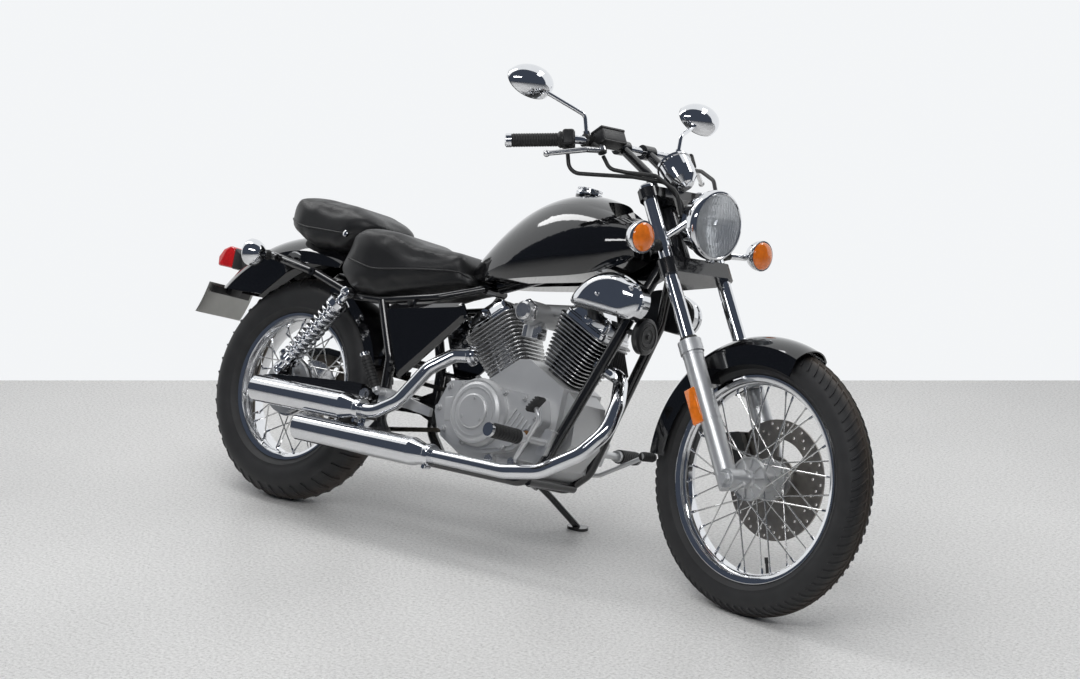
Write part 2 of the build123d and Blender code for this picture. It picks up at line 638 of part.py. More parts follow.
with BuildPart() as side_covers:
    for side in SIDES:
        with BuildSketch(Plane.XZ.offset(-side * 123.3)) as cover:
            with BuildLine():
                Polyline((361, 547), (372, 565), (612, 600), (637, 565), (446, 375), close=True)
            make_face()
            fillet(cover.vertices(), 9)
        extrude(cover.sketch, amount=-side * 6)
        extrude(cover.sketch.moved(Location((0, side * 6, 0))), amount=-side * 10, taper=50)
        for x, z, to_x, to_z in ((440, 562, 440, 594), (425, 420, 392, 420)):
            bar_between((x, side * 125, z), (to_x, side * 110, to_z), 6)
    add(frame.part, mode=Mode.SUBTRACT)
side_covers.part.label = "side_covers"

with BuildPart() as tail_light:
    plate([(-290, 606), (-312, 644), (-336, 664), (-354, 668), (-380, 656), (-396, 632),
           (-392, 606), (-345, 598)], -42, 42)
    arch(REAR_AXLE, -90, 120, GUARD, Mode.SUBTRACT)
tail_light.part.label = "tail_light"


def indicator(origin, axis):
    """Round signal lamp: chrome bowl with a domed lens in front of it."""
    turned_on(origin, axis, [(0, -26), (14, -24), (30, -10), (38, 8), (38, 16), (35, 20),
                             (24, 28), (0, 31)])


REAR_SIGNAL = (-112, 172, 645)
with BuildPart() as rear_indicators:
    for side in SIDES:
        x, y, z = REAR_SIGNAL
        indicator((x, side * y, z), (-1, 0, 0))
        bar_between((x, side * (y - 20), z), (x, side * 102, 651), 9)
    add(frame.part, mode=Mode.SUBTRACT)
rear_indicators.part.label = "rear_indicators"

PLATE_HOLE_R = 3
PLATE_HOLES = 120  # apart
PLATE_HOLE_DOWN = 16  # from the plate's top edge
PLATE_TILT = radians(17)  # its foot further back than its top
PLATE_FACE = Plane(origin=(-354, 0, 552), x_dir=(0, 1, 0),
                   z_dir=(-cos(PLATE_TILT), 0, sin(PLATE_TILT)))  # Y down the plate
with BuildPart() as number_plate:
    with BuildSketch(PLATE_FACE) as blank:
        with Locations((0, 48)):
            RectangleRounded(180, 96, 8)
        with Locations((-PLATE_HOLES / 2, PLATE_HOLE_DOWN), (PLATE_HOLES / 2, PLATE_HOLE_DOWN)):
            Circle(PLATE_HOLE_R, mode=Mode.SUBTRACT)
    extrude(blank.sketch, amount=2)
    with BuildSketch(PLATE_FACE) as strap:
        with Locations((0, 34)):
            Rectangle(40, 68)
    extrude(strap.sketch, amount=-5)
    plate([(-354, 552), (-340, 546), (-330, 560), (-330, 580), (-345, 590), (-358, 566)],
          -20, 20)
    arch(REAR_AXLE, -90, 120, GUARD, Mode.SUBTRACT)
number_plate.part.label = "number_plate"

# ---- Final drive ----
FRONT_SPROCKET = (600, 330)
CHAIN_W = 14
LINK_PITCH = 15.875
LINK_HIGH = 9
CHAIN_REAR_R = SPROCKET_R + SEAT_GAP + LINK_HIGH / 2
CHAIN_FRONT_R = 37


def chain_loop(rear_r, front_r, width, mode=Mode.ADD):
    with BuildSketch(Plane.XZ.offset(-CHAIN_Y)) as loop:
        with Locations((0, REAR.radius)):
            Circle(rear_r)
        with Locations(FRONT_SPROCKET):
            Circle(front_r)
        make_hull()
    extrude(loop.sketch, amount=width / 2, both=True, mode=mode)


with BuildPart() as drive_chain:
    chain_loop(CHAIN_REAR_R + 3.5, CHAIN_FRONT_R + 3.5, CHAIN_W - 5)
    chain_loop(CHAIN_REAR_R - 3.5, CHAIN_FRONT_R - 3.5, CHAIN_W, Mode.SUBTRACT)
    with BuildSketch(Plane.XZ.offset(-CHAIN_Y), mode=Mode.PRIVATE) as pitch_line:
        with Locations((0, REAR.radius)):
            Circle(CHAIN_REAR_R)
        with Locations(FRONT_SPROCKET):
            Circle(CHAIN_FRONT_R)
        make_hull()
    route = pitch_line.sketch.face().outer_wire()
    pairs = round(route.length / (2 * LINK_PITCH))
    with Locations(*[Plane(origin=route @ (link / pairs), x_dir=route % (link / pairs),
                           z_dir=(0, 1, 0)) for link in range(pairs)]):
        Box(LINK_PITCH, LINK_HIGH, CHAIN_W)
drive_chain.part.label = "drive_chain"

with BuildPart() as chain_guard:
    plate([(-90, 398), (-62, 424), (0, 432), (300, 408), (300, 396), (0, 420), (-56, 412)],
          70, 91)
    plate([(-90, 398), (-62, 424), (0, 432), (300, 408), (300, 386), (0, 404), (-80, 390)],
          88.5, 91)
    plate([(200, 330), (220, 330), (220, 405), (200, 405)], 88.5, ARM_HALF - 13)
    add(swingarm.part, mode=Mode.SUBTRACT)
chain_guard.part.label = "chain_guard"

PEG = (924, 322, 300)
with BuildPart() as foot_controls:
    for side in SIDES:
        plate([(925, 262), (952, 262), (968, 325), (942, 330)], side * 100, side * 126, corner=6)
        bar_between((944, side * 126, 294), (936, side * 205, 296), 9)
        bar_between((936, side * 205, 296), (PEG[0], side * PEG[1], PEG[2]), 15)
        plate([(392, 300), (392, 350), (425, 350), (572, 322), (572, 300), (420, 318)],
              side * 112, side * 124, corner=4)
        bar_between((406, side * 124, 338), (406, side * 150, 338), 10)
        bar_between((406, side * 150, 338), (352, side * 168, 428), 11)
    tube([(904, -100, 236), (906, -176, 238), (976, -200, 350), (946, -200, 384)], 6, [20, 20])
    tube([(831, CASE_HALF, 226), (831, 176, 226), (901, 200, 240), (1012, 236, 314)], 6, [20, 20])
    bar_between((1004, 220, 309), (1012, 262, 312), 8)
    add(frame.part, mode=Mode.SUBTRACT)
foot_controls.part.label = "foot_controls"

with BuildPart() as horn:
    turned_on((1106, -52, 592), (1, 0, 0), [(0, 0), (34, 2), (44, 10), (44, 22), (30, 27), (0, 27)])
    bar_between((1074, -70, 600), (1108, -56, 594), 7)
    add(frame.part, mode=Mode.SUBTRACT)
horn.part.label = "horn"

# ---- Fork, about the steering axis: X forward, Z up along it ----
AXLE = (-TRAIL * cos(rake) + FRONT.radius * sin(rake),
        TRAIL * sin(rake) + FRONT.radius * cos(rake))
TUBE_END = 560
LEVEL = Vector(cos(rake), 0, -sin(rake))  # straight ahead and level, seen from the fork


def clamp_plate(heights):
    """Fork yoke: two eyes and the steering head's boss in one outline."""
    with BuildSketch(Plane.XY.offset(heights[0])) as yoke:
        Circle(26)
        with Locations((FORK_LEAD, -FORK_HALF), (FORK_LEAD, FORK_HALF)):
            Circle(CLAMP_EYE)
        make_hull()
    extrude(yoke.sketch, amount=heights[1] - heights[0])


BAR_T = -45
BAR_S = 1246
RISER_Y = 45
RISER_T = 22  # foot of the risers, ahead of the steering axis
RISER_R = 12
with BuildPart() as triple_clamps:
    clamp_plate(LOWER_CLAMP)
    clamp_plate(UPPER_CLAMP)
    bar_between((0, 0, LOWER_CLAMP[0]), (0, 0, UPPER_CLAMP[1] + 12), STEM_R)
    for side in SIDES:
        tube([(RISER_T, side * RISER_Y, UPPER_CLAMP[1] - 2),
              (RISER_T - 6, side * RISER_Y, UPPER_CLAMP[1] + 60),
              (BAR_T, side * RISER_Y, BAR_S)], RISER_R, 60)
        bar_between((RISER_T, side * RISER_Y, UPPER_CLAMP[1]),
                    (RISER_T, side * RISER_Y, UPPER_CLAMP[1] + 14), RISER_R + 4)
        bar_between((BAR_T, side * (RISER_Y - 18), BAR_S), (BAR_T, side * (RISER_Y + 18), BAR_S),
                    19)
        bar_between((FORK_LEAD, side * FORK_HALF, 800), (FORK_LEAD, side * FORK_HALF, 1100),
                    STANCHION_R, Mode.SUBTRACT)
    bar_between((BAR_T, -90, BAR_S), (BAR_T, 90, BAR_S), BAR_R, Mode.SUBTRACT)
triple_clamps.part.label = "triple_clamps"

with BuildPart() as fork_tubes:
    for side in SIDES:
        leg = (FORK_LEAD, side * FORK_HALF)
        bar_between((*leg, TUBE_END), (*leg, UPPER_CLAMP[1]), STANCHION_R)
        bar_between((*leg, UPPER_CLAMP[1]), (*leg, UPPER_CLAMP[1] + 8), STANCHION_R + 2)
fork_tubes.part.label = "fork_tubes"

with BuildPart() as fork_sliders:
    for side in SIDES:
        leg = (FORK_LEAD, side * FORK_HALF)
        bar_between((*leg, AXLE[1] - 16), (*leg, SLIDER_TOP), SLIDER_R)
        bar_between((*leg, SLIDER_TOP - 30), (*leg, SLIDER_TOP), SLIDER_R + 4)
        bar_between((AXLE[0], side * (FORK_HALF - SLIDER_R), AXLE[1]),
                    (AXLE[0], side * (FORK_HALF + SLIDER_R), AXLE[1]), 22)
        bar_between((*leg, TUBE_END), (*leg, SLIDER_TOP + 1), STANCHION_R, Mode.SUBTRACT)
    bar_between((AXLE[0], -124, AXLE[1]), (AXLE[0], 124, AXLE[1]), FRONT_AXLE_R)
    for end, hub_face in ((-1, FRONT_HUB[0]), (1, FRONT_HUB[1])):
        bar_between((AXLE[0], end * FORK_HALF, AXLE[1]),
                    (AXLE[0], hub_face + end * SEAT_GAP, AXLE[1]), 14)
fork_sliders.part.label = "fork_sliders"

BAR_BEND = Vector(BAR_T, 192, BAR_S)
GRIP_OUT = Vector(-156, 315, 1283)
GRIP_LONG = 128


def bar_point(side, inboard):
    """Point of the grip's straight run, at a distance from its outer end."""
    spot = GRIP_OUT + (BAR_BEND - GRIP_OUT).normalized() * inboard
    return Vector(spot.X, side * spot.Y, spot.Z)


with BuildPart() as handlebar:
    bends = [Vector(BAR_BEND.X, side * BAR_BEND.Y, BAR_BEND.Z) for side in (-1, 1)]
    tube([bar_point(-1, 0), *bends, bar_point(1, 0)], BAR_R, [60, 60])
handlebar.part.label = "handlebar"

GRIP_R = 16.5
GRIP_END = 3  # closed end, past the bar's
with BuildPart() as grips:
    for side in SIDES:
        bar_between(bar_point(side, GRIP_LONG - 8), bar_point(side, -GRIP_END), GRIP_R)
        bar_between(bar_point(side, GRIP_LONG), bar_point(side, GRIP_LONG - 9), GRIP_R + 4)
    add(handlebar.part, mode=Mode.SUBTRACT)
grips.part.label = "grips"

# Pivots and ball ends of the levers, and hoses: points for the left side, Y mirrored on the right
LEVER_PIVOT = Vector(-20, 150, 1210)
LEVER_END = Vector(-84, 276, 1214)
HOSE_R = 5
RIGHT_HOSES = (((-70, -214, 1232), (-86, -212, 1172), (-40, -162, 1150), (10, -96, 1128),
                (66, -54, 1090), (92, -46, 1024), (74, -40, 985)),
               ((-36, -132, 1204), (-30, -128, 1166), (0, -104, 1144), (58, -72, 1110),
                (100, -64, 1044), (84, -52, 990)))
LEFT_HOSE = ((-26, 138, 1204), (10, 124, 1182), (62, 100, 1146), (98, 90, 1100), (104, 74, 1040),
             (84, 52, 990))
with BuildPart() as hand_controls:
    for side in SIDES:
        pivot = Vector(LEVER_PIVOT.X, side * LEVER_PIVOT.Y, LEVER_PIVOT.Z)
        end = Vector(LEVER_END.X, side * LEVER_END.Y, LEVER_END.Z)
        bar_between(bar_point(side, GRIP_LONG + 32), bar_point(side, GRIP_LONG), 20)
        bar_between((BAR_T, side * 150, BAR_S), (BAR_T, side * 174, BAR_S), 17)
        bar_between((BAR_T, side * 156, BAR_S - 4), pivot, 10)
        bar_between(pivot - Vector(0, 0, 9), pivot + Vector(0, 0, 9), 11)
        tube([pivot, pivot + Vector(-8, side * 48, -2), end], 5.5, 60)
        with Locations(end):
            Sphere(8)
    with Locations((-14, -118, 1243)):
        Box(38, 76, 34)
    for route in (*RIGHT_HOSES, LEFT_HOSE):
        tube(route, HOSE_R, 30)
    add(handlebar.part, mode=Mode.SUBTRACT)
    add(triple_clamps.part, mode=Mode.SUBTRACT)
hand_controls.part.label = "hand_controls"

MIRROR = (-57, 301, 1392)
MIRROR_FOOT = Vector(-46, 162, 1256)
MIRROR_ELBOW = Vector(-24, 172, 1306)
MIRROR_HALF = (68, 44)  # across and high
with BuildPart() as mirrors:
    for side in SIDES:
        foot = Vector(MIRROR_FOOT.X, side * MIRROR_FOOT.Y, MIRROR_FOOT.Z)
        elbow = Vector(MIRROR_ELBOW.X, side * MIRROR_ELBOW.Y, MIRROR_ELBOW.Z)
        tube([foot, elbow, Vector(MIRROR[0] + 14, side * (MIRROR[1] - 34), MIRROR[2] - 28)],
             5.5, 16)
        bar_between(foot, foot + (elbow - foot) * 0.3, 9)
        with BuildSketch(Plane.XY.offset(MIRROR[2])) as oval:
            with Locations((MIRROR[0], side * MIRROR[1])):
                Ellipse(MIRROR_HALF[1], MIRROR_HALF[0])
            with Locations((MIRROR[0] - 50, side * MIRROR[1])):
                Rectangle(100, 200, mode=Mode.SUBTRACT)
        revolve(oval.sketch, axis=Axis((MIRROR[0], 0, MIRROR[2]), (0, 1, 0)))
        with Locations((MIRROR[0] - 50, side * MIRROR[1], MIRROR[2])):
            Box(100, 200, 200, mode=Mode.SUBTRACT)
    add(hand_controls.part, mode=Mode.SUBTRACT)
    add(handlebar.part, mode=Mode.SUBTRACT)
mirrors.part.label = "mirrors"

LAMP = (139, 0, 943)  # centre of the headlight's rim
LAMP_R = 82
LAMP_DEPTH = 100
with BuildPart() as headlight:
    turned_on(LAMP, LEVEL, [(0, -LAMP_DEPTH), (28, 3 - LAMP_DEPTH), (50, 18 - LAMP_DEPTH),
                            (66, -56), (72, -24), (LAMP_R - 4, -22), (LAMP_R, -12), (LAMP_R, 0),
                            (LAMP_R - 6, 4), (LAMP_R - 6, -6), (0, -6)])
    for side in SIDES:
        bar_between((LAMP[0] - 30, side * 60, LAMP[2] + 18),
                    (FORK_LEAD, side * FORK_HALF, LAMP[2]), 9)
        bar_between((FORK_LEAD, side * FORK_HALF, LAMP[2] - 22),
                    (FORK_LEAD, side * FORK_HALF, LAMP[2] + 14), STANCHION_R + 4)
    add(fork_tubes.part, mode=Mode.SUBTRACT)
    add(hand_controls.part, mode=Mode.SUBTRACT)
headlight.part.label = "headlight"

with BuildPart() as headlight_lens:
    turned_on(LAMP, LEVEL, [(0, -6), (LAMP_R - 6, -6), (LAMP_R - 6, 3), (54, 9), (28, 12), (0, 13)])
headlight_lens.part.label = "headlight_lens"

DIAL = (62, 0, 1152)
DIAL_R = 45
DIAL_TILT = 15
with BuildPart() as speedometer:
    back = Vector(-sin(radians(DIAL_TILT)), 0, cos(radians(DIAL_TILT)))
    turned_on(DIAL, back, [(0, -76), (22, -74), (36, -60), (41, -34), (42, -8), (DIAL_R, -6),
                           (DIAL_R, 0), (DIAL_R - 5, 3), (0, 3)])
    bar_between((80, 0, 1086), (20, 0, UPPER_CLAMP[1] + 4), 8)
    add(triple_clamps.part, mode=Mode.SUBTRACT)
speedometer.part.label = "speedometer"

FRONT_SIGNAL = (70, 211, 922)
with BuildPart() as front_indicators:
    for side in SIDES:
        x, y, z = FRONT_SIGNAL
        indicator((x, side * y, z), LEVEL)
        bar_between((x - 12, side * (y - 24), z), (FORK_LEAD, side * FORK_HALF, z + 4), 9)
    add(headlight.part, mode=Mode.SUBTRACT)
    add(fork_tubes.part, mode=Mode.SUBTRACT)
front_indicators.part.label = "front_indicators"

FRONT_CENTRE = (AXLE[0], 0, AXLE[1])
FRONT_GUARD = (54, 331, 306, 262)
FRONT_GUARD_BACK = 147 - 90  # rear edge, degrees behind the steering axis's direction
FRONT_GUARD_SWEEP = 107.5
with BuildPart() as front_fender:
    arch(FRONT_CENTRE, -FRONT_GUARD_BACK, FRONT_GUARD_SWEEP, FRONT_GUARD)
    arch(FRONT_CENTRE, -FRONT_GUARD_BACK - 4, FRONT_GUARD_SWEEP + 8,
         shrunk(FRONT_GUARD, GUARD_T), Mode.SUBTRACT)
    for side in SIDES:
        plate([(10, 560), (62, 560), (62, 600), (10, 600)], side * (FRONT_GUARD[0] - 1),
              side * (FORK_HALF - 8))
    add(fork_sliders.part, mode=Mode.SUBTRACT)
    add(fork_tubes.part, mode=Mode.SUBTRACT)
front_fender.part.label = "front_fender"

with BuildPart() as brake_caliper:
    plate([(-84, 392), (-20, 372), (8, 400), (8, 470), (-40, 486), (-92, 440)], DISC_Y - 23,
          DISC_Y + 30, corner=10)
    bar_between((AXLE[0], DISC_Y - CLEAR - DISC_T / 2, AXLE[1]),
                (AXLE[0], DISC_Y + CLEAR + DISC_T / 2, AXLE[1]), DISC_R + CLEAR, Mode.SUBTRACT)
    plate([(-20, 440), (36, 440), (36, 470), (-20, 470)], DISC_Y + 14, DISC_Y + 26)
    add(fork_sliders.part, mode=Mode.SUBTRACT)
brake_caliper.part.label = "brake_caliper"


# ---- Standing it on the floor ----
def dip(place, wheel):
    """Height of a tyre's lowest point, where its axle lies along the place's Y."""
    axle_z = (place * Location((0, 1, 0))).position.Z - place.position.Z
    corners = [crown_corner(wheel, angle) for angle in CROWN_ANGLES]
    return place.position.Z - max(r * sqrt(1 - axle_z**2) + y * axle_z for y, r in corners)


fork_place = Plane(origin=(WHEELBASE + TRAIL, 0, 0), x_dir=(cos(rake), 0, sin(rake)),
                   z_dir=(-sin(rake), 0, cos(rake))).location * Rotation(0, 0, STEER)
front_place = fork_place * Location(FRONT_CENTRE)
rear_place = Location(REAR_AXLE)
pitch = 0.0
for _ in range(12):
    stance = Rotation(-LEAN, 0, 0) * Rotation(0, pitch, 0)
    drop = dip(stance * front_place, FRONT) - dip(stance * rear_place, REAR)
    pitch += drop / WHEELBASE * 180 / pi
stance = Location((0, 0, -dip(stance * rear_place, REAR))) * stance

with BuildPart() as side_stand:
    upright = stance.inverse()
    floor = Plane(upright)
    foot = STAND_PIVOT + STAND_DOWN
    toe = (stance * Location(tuple(foot))).position
    toe = Vector(toe.X, toe.Y, 0)
    bar_between(STAND_PIVOT - STAND_AXIS * STAND_BOSS, STAND_PIVOT + STAND_AXIS * STAND_BOSS, 14)
    sole = (upright * Location((toe.X, toe.Y, 0))).position
    rise = (upright * Location((toe.X, toe.Y, 5))).position
    tube([STAND_PIVOT, STAND_PIVOT + STAND_DOWN * 0.3 + Vector(0, 8, 0), rise], 9, 60)
    with BuildSketch(Plane(origin=sole, x_dir=floor.x_dir, z_dir=floor.z_dir)) as pad:
        SlotOverall(62, 34)
    extrude(pad.sketch, amount=8)
    with BuildSketch(Plane(origin=sole, z_dir=-floor.z_dir)) as under:
        Rectangle(300, 300)
    extrude(under.sketch, amount=60, mode=Mode.SUBTRACT)
    bar_between(STAND_PIVOT - STAND_AXIS * 20, STAND_PIVOT + STAND_AXIS * 20,
                STAND_PIN_R + RUNNING, Mode.SUBTRACT)
side_stand.part.label = "side_stand"

chassis_pieces = (frame, swingarm, rear_brake, rear_shocks, crankcase, engine_covers, cylinders,
                  head_covers, carburettor, air_cleaners, exhaust_pipes, mufflers, fuel_tank,
                  rider_seat, passenger_seat, rear_fender, side_covers, tail_light,
                  rear_indicators, number_plate, drive_chain, chain_guard, foot_controls, horn,
                  side_stand)
fork_pieces = (triple_clamps, fork_tubes, fork_sliders, handlebar, grips, hand_controls, mirrors,
               headlight, headlight_lens, speedometer, front_indicators, front_fender,
               brake_caliper)
standing = [(piece.part, stance) for piece in chassis_pieces]
standing += [(piece.part, stance * fork_place) for piece in fork_pieces]
standing += [(part, stance * front_place) for part in wheel_parts["front"]]
standing += [(part, stance * rear_place) for part in wheel_parts["rear"]]

# The row's origin is the middle of the machine's footprint, on the floor
outline = Compound(children=[part.moved(place) for part, place in standing]).bounding_box()
to_row = Location((-(outline.min.X + outline.max.X) / 2, -(outline.min.Y + outline.max.Y) / 2,
                   -outline.min.Z))
for part, place in standing:
    placed = part.moved(to_row * place)
    placed.label = part.label
    export_step(placed, f"parts/{part.label}.step")

print("pitch", pitch, "bounds", outline.min, outline.max)


def report(name, place, direction):
    """Prints a joint or mount in the row's frame, metres."""
    at = to_row * place
    tip = at * Location(tuple(direction))
    heading = tip.position - at.position
    print("ROW", name, [round(v / 1000, 6) for v in at.position], [round(v, 6) for v in heading])


report("front_axle", stance * front_place, (0, 1, 0))
report("rear_axle", stance * rear_place, (0, 1, 0))
report("steering", stance * fork_place, (0, 0, 1))
report("stand", stance * Location(tuple(STAND_PIVOT)), tuple(STAND_AXIS))
for number, (x, face) in enumerate(FENDER_BOSSES):
    for side, word in zip(SIDES, ("left", "right")):
        report(f"rack_{word}_{number + 1}",
               stance * Location((x, side * face, rail_at(x)[1])), (0, side, 0))
plate_centre = PLATE_FACE.from_local_coords(Vector(0, PLATE_HOLE_DOWN, 2))
report("plate_holes", stance * Location(tuple(plate_centre)), tuple(PLATE_FACE.z_dir))
for side, word in zip(SIDES, ("left", "right")):
    report(f"peg_{word}", stance * Location((PEG[0], side * PEG[1], PEG[2])), (0, side, 0))
for side, word in zip(SIDES, ("left", "right")):
    outward = bar_point(side, 0) - bar_point(side, 1)
    report(f"grip_{word}", stance * fork_place * Location(tuple(bar_point(side, -GRIP_END))),
           tuple(outward))
report("bar_centre", stance * fork_place * Location((BAR_T, 0, BAR_S)), (0, 1, 0))
report("frame_gap_low_at", stance * Location((505, -5, 350)), (0, 0, 1))
report("frame_gap_high_at", stance * Location((505, -5, 470)), (0, 0, 1))
report("bar_space_at", stance * fork_place * Location((BAR_T - 70, 0, BAR_S + 30)), (0, 0, 1))
report("rear_guard_space_at", stance * Location((-20, 0, 645)), (0, 0, 1))
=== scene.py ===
import json
from math import asin, atan2, cos, hypot, pi, radians, sin, sqrt

import bmesh
import bpy
from mathutils import Matrix, Vector
from mathutils.bvhtree import BVHTree


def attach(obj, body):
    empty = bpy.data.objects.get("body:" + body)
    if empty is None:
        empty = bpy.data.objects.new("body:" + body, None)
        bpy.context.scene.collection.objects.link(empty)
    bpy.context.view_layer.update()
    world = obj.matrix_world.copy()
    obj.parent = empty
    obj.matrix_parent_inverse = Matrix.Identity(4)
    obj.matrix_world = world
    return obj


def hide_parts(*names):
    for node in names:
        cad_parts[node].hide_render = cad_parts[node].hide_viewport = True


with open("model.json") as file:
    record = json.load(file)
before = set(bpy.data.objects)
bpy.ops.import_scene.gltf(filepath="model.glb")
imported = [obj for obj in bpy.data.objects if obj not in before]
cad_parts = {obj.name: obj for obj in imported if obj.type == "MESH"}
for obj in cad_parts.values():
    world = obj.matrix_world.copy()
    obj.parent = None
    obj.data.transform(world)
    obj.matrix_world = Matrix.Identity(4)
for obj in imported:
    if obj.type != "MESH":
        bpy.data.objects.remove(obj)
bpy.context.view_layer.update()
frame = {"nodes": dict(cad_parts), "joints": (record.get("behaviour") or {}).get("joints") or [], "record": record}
nodes = frame["nodes"]
joints = {joint["name"]: joint for joint in frame["joints"]}

# ---- Camera ----
# At a standing person's eyes, in front of the machine's right side, with a short tele lens.
CAMERA_FROM_AXLE = Vector((3.686, -3.623, 1.2635))  # from the rear axle's middle
CAMERA_TURN = (radians(90 - 12.383), 0, radians(38.166))
CAMERA_LENS = 63.37


def placed(name, data):
    """New object in the scene."""
    made = bpy.data.objects.new(name, data)
    bpy.context.scene.collection.objects.link(made)
    return made


camera = placed("camera", bpy.data.cameras.new("camera"))
camera.location = Vector(joints["rear_wheel_spin"]["pos_m"]) + CAMERA_FROM_AXLE
camera.rotation_euler = CAMERA_TURN
camera.data.lens = CAMERA_LENS
camera.data.sensor_width = 36
camera.data.sensor_fit = "HORIZONTAL"
camera.data.clip_end = 60
bpy.context.scene.camera = camera
bpy.context.scene.view_settings.view_transform = "Standard"

# ---- Studio ----
# Polished speckled stone on the floor, and a white wall a step behind the machine, which is
# seen only from its front. A wide soft lamp hangs overhead, with three long strips round it.
WALL_DISTANCE = 1.6  # from the machine's middle, along the camera's view
ROOM_HALF = 12
STONE = ((0.30, 0.29, 0.28), (0.66, 0.655, 0.64), (0.86, 0.855, 0.84))
WALL_SHOWN = (0.90, 0.915, 0.93)


def wired(material, kind, **values):
    """New node of a material's or the world's tree, with constants on its own sockets."""
    node = material.node_tree.nodes.new("ShaderNode" + kind)
    for socket, value in values.items():
        node.inputs[socket.replace("_", " ")].default_value = value
    return node


def joined(source, output, target, inlet):
    """Links one node's output to another's input."""
    target.id_data.links.new(source.outputs[output], target.inputs[inlet])


def ramp_of(material, source, stops):
    """Colour ramp over a value, from (place, colour) stops."""
    node = material.node_tree.nodes.new("ShaderNodeValToRGB")
    ramp = node.color_ramp
    ramp.elements[0].position, ramp.elements[1].position = stops[0][0], stops[-1][0]
    for place, _ in stops[1:-1]:
        ramp.elements.new(place)
    for element, (_, colour) in zip(ramp.elements, stops):
        element.color = (*colour, 1)
    material.node_tree.links.new(source, node.inputs["Fac"])
    return node


stone = bpy.data.materials.new("speckled_stone")
stone.use_nodes = True
shader = stone.node_tree.nodes["Principled BSDF"]
shader.inputs["Specular IOR Level"].default_value = 0.35
place = wired(stone, "TexCoord")
chips = wired(stone, "TexNoise", Scale=120, Detail=9, Roughness=0.85)
clouds = wired(stone, "TexNoise", Scale=0.9, Detail=5)
for noise in (chips, clouds):
    joined(place, "Object", noise, "Vector")
speckle = ramp_of(stone, chips.outputs["Fac"],
                  ((0.33, STONE[0]), (0.47, STONE[1]), (0.62, STONE[2])))
stain = ramp_of(stone, clouds.outputs["Fac"], ((0.3, (0.88, 0.88, 0.88)), (0.65, (1, 1, 1))))
tint = wired(stone, "Mix")
tint.data_type = "RGBA"
tint.blend_type = "MULTIPLY"
tint.inputs["Factor"].default_value = 1
joined(speckle, "Color", tint, "A")
joined(stain, "Color", tint, "B")
joined(tint, "Result", shader, "Base Color")
polish = wired(stone, "MapRange", To_Min=0.30, To_Max=0.52)
joined(clouds, "Fac", polish, "Value")
joined(polish, "Result", shader, "Roughness")

paint = bpy.data.materials.new("wall_paint")
paint.use_nodes = True
tree = paint.node_tree
tree.nodes.remove(tree.nodes["Principled BSDF"])
side = wired(paint, "NewGeometry")
shown = wired(paint, "Emission", Color=(*WALL_SHOWN, 1), Strength=1)
lit = wired(paint, "BsdfDiffuse", Color=(0.8, 0.8, 0.8, 1))
unseen = wired(paint, "BsdfTransparent")
ray = wired(paint, "LightPath")
by_ray = wired(paint, "MixShader")
by_side = wired(paint, "MixShader")
seen = wired(paint, "Math")
seen.operation = "MAXIMUM"
joined(ray, "Is Camera Ray", seen, 0)
joined(ray, "Is Glossy Ray", seen, 1)
joined(seen, "Value", by_ray, 0)
joined(lit, "BSDF", by_ray, 1)
joined(shown, "Emission", by_ray, 2)
joined(side, "Backfacing", by_side, 0)
joined(by_ray, "Shader", by_side, 1)
joined(unseen, "BSDF", by_side, 2)
joined(by_side, "Shader", tree.nodes["Material Output"], "Surface")

for name, material in (("floor", stone), ("wall", paint)):
    build = bmesh.new()
    bmesh.ops.create_grid(build, x_segments=1, y_segments=1, size=ROOM_HALF)
    if name == "wall":
        bmesh.ops.rotate(build, verts=build.verts, matrix=Matrix.Rotation(radians(90), 3, "X"))
        bmesh.ops.translate(build, verts=build.verts, vec=(0, WALL_DISTANCE, ROOM_HALF - 0.001))
        bmesh.ops.rotate(build, verts=build.verts,
                         matrix=Matrix.Rotation(CAMERA_TURN[2], 3, "Z"))
    mesh = bpy.data.meshes.new(name)
    build.to_mesh(mesh)
    build.free()
    mesh.materials.append(material)
    placed(name, mesh)

# name, place, aimed at, width, length, power, whether polished metal mirrors it
LAMPS = (("overhead", (0.4, -0.8, 4.2), (0.1, -0.1, 0), 4.6, 4.6, 120, False),
         ("front_strip", (1.2, -3.0, 3.1), (0.1, 0, 0.5), 3.2, 0.5, 42, True),
         ("rear_strip", (-1.9, -0.2, 3.2), (-0.2, 0, 0.5), 0.6, 2.4, 26, True),
         ("left_strip", (1.4, 2.2, 3.0), (0.2, 0, 0.5), 2.4, 0.6, 22, True))
for name, spot, aim, width, length, power, mirrored in LAMPS:
    lamp = bpy.data.lights.new(name, "AREA")
    lamp.shape = "RECTANGLE"
    lamp.size = width
    lamp.size_y = length
    lamp.energy = power
    holder = placed(name, lamp)
    holder.location = spot
    holder.rotation_euler = (Vector(aim) - Vector(spot)).to_track_quat("-Z", "Y").to_euler()
    holder.visible_glossy = mirrored

# A dim blue-grey room beyond the lamps, white where the camera looks past the wall
world = bpy.data.worlds.new("studio")
world.use_nodes = True
room = world.node_tree.nodes["Background"]
room.inputs["Color"].default_value = (0.13, 0.155, 0.21, 1)
room.inputs["Strength"].default_value = 0.4
white = wired(world, "Background", Color=(*WALL_SHOWN, 1))
ray = wired(world, "LightPath")
pick = wired(world, "MixShader")
joined(ray, "Is Camera Ray", pick, 0)
joined(room, "Background", pick, 1)
joined(white, "Background", pick, 2)
joined(pick, "Shader", world.node_tree.nodes["World Output"], "Surface")
bpy.context.scene.world = world

# ---- Where the bodies stand ----
# The machine leans on its side stand with its fork turned to the right. Pieces are drawn in
# millimetres on the upright chassis, on the fork's own steering axis or on a wheel's axle.
RAKE = radians(30.3)
REAR_RADIUS = 307
FRONT_RADIUS = 312


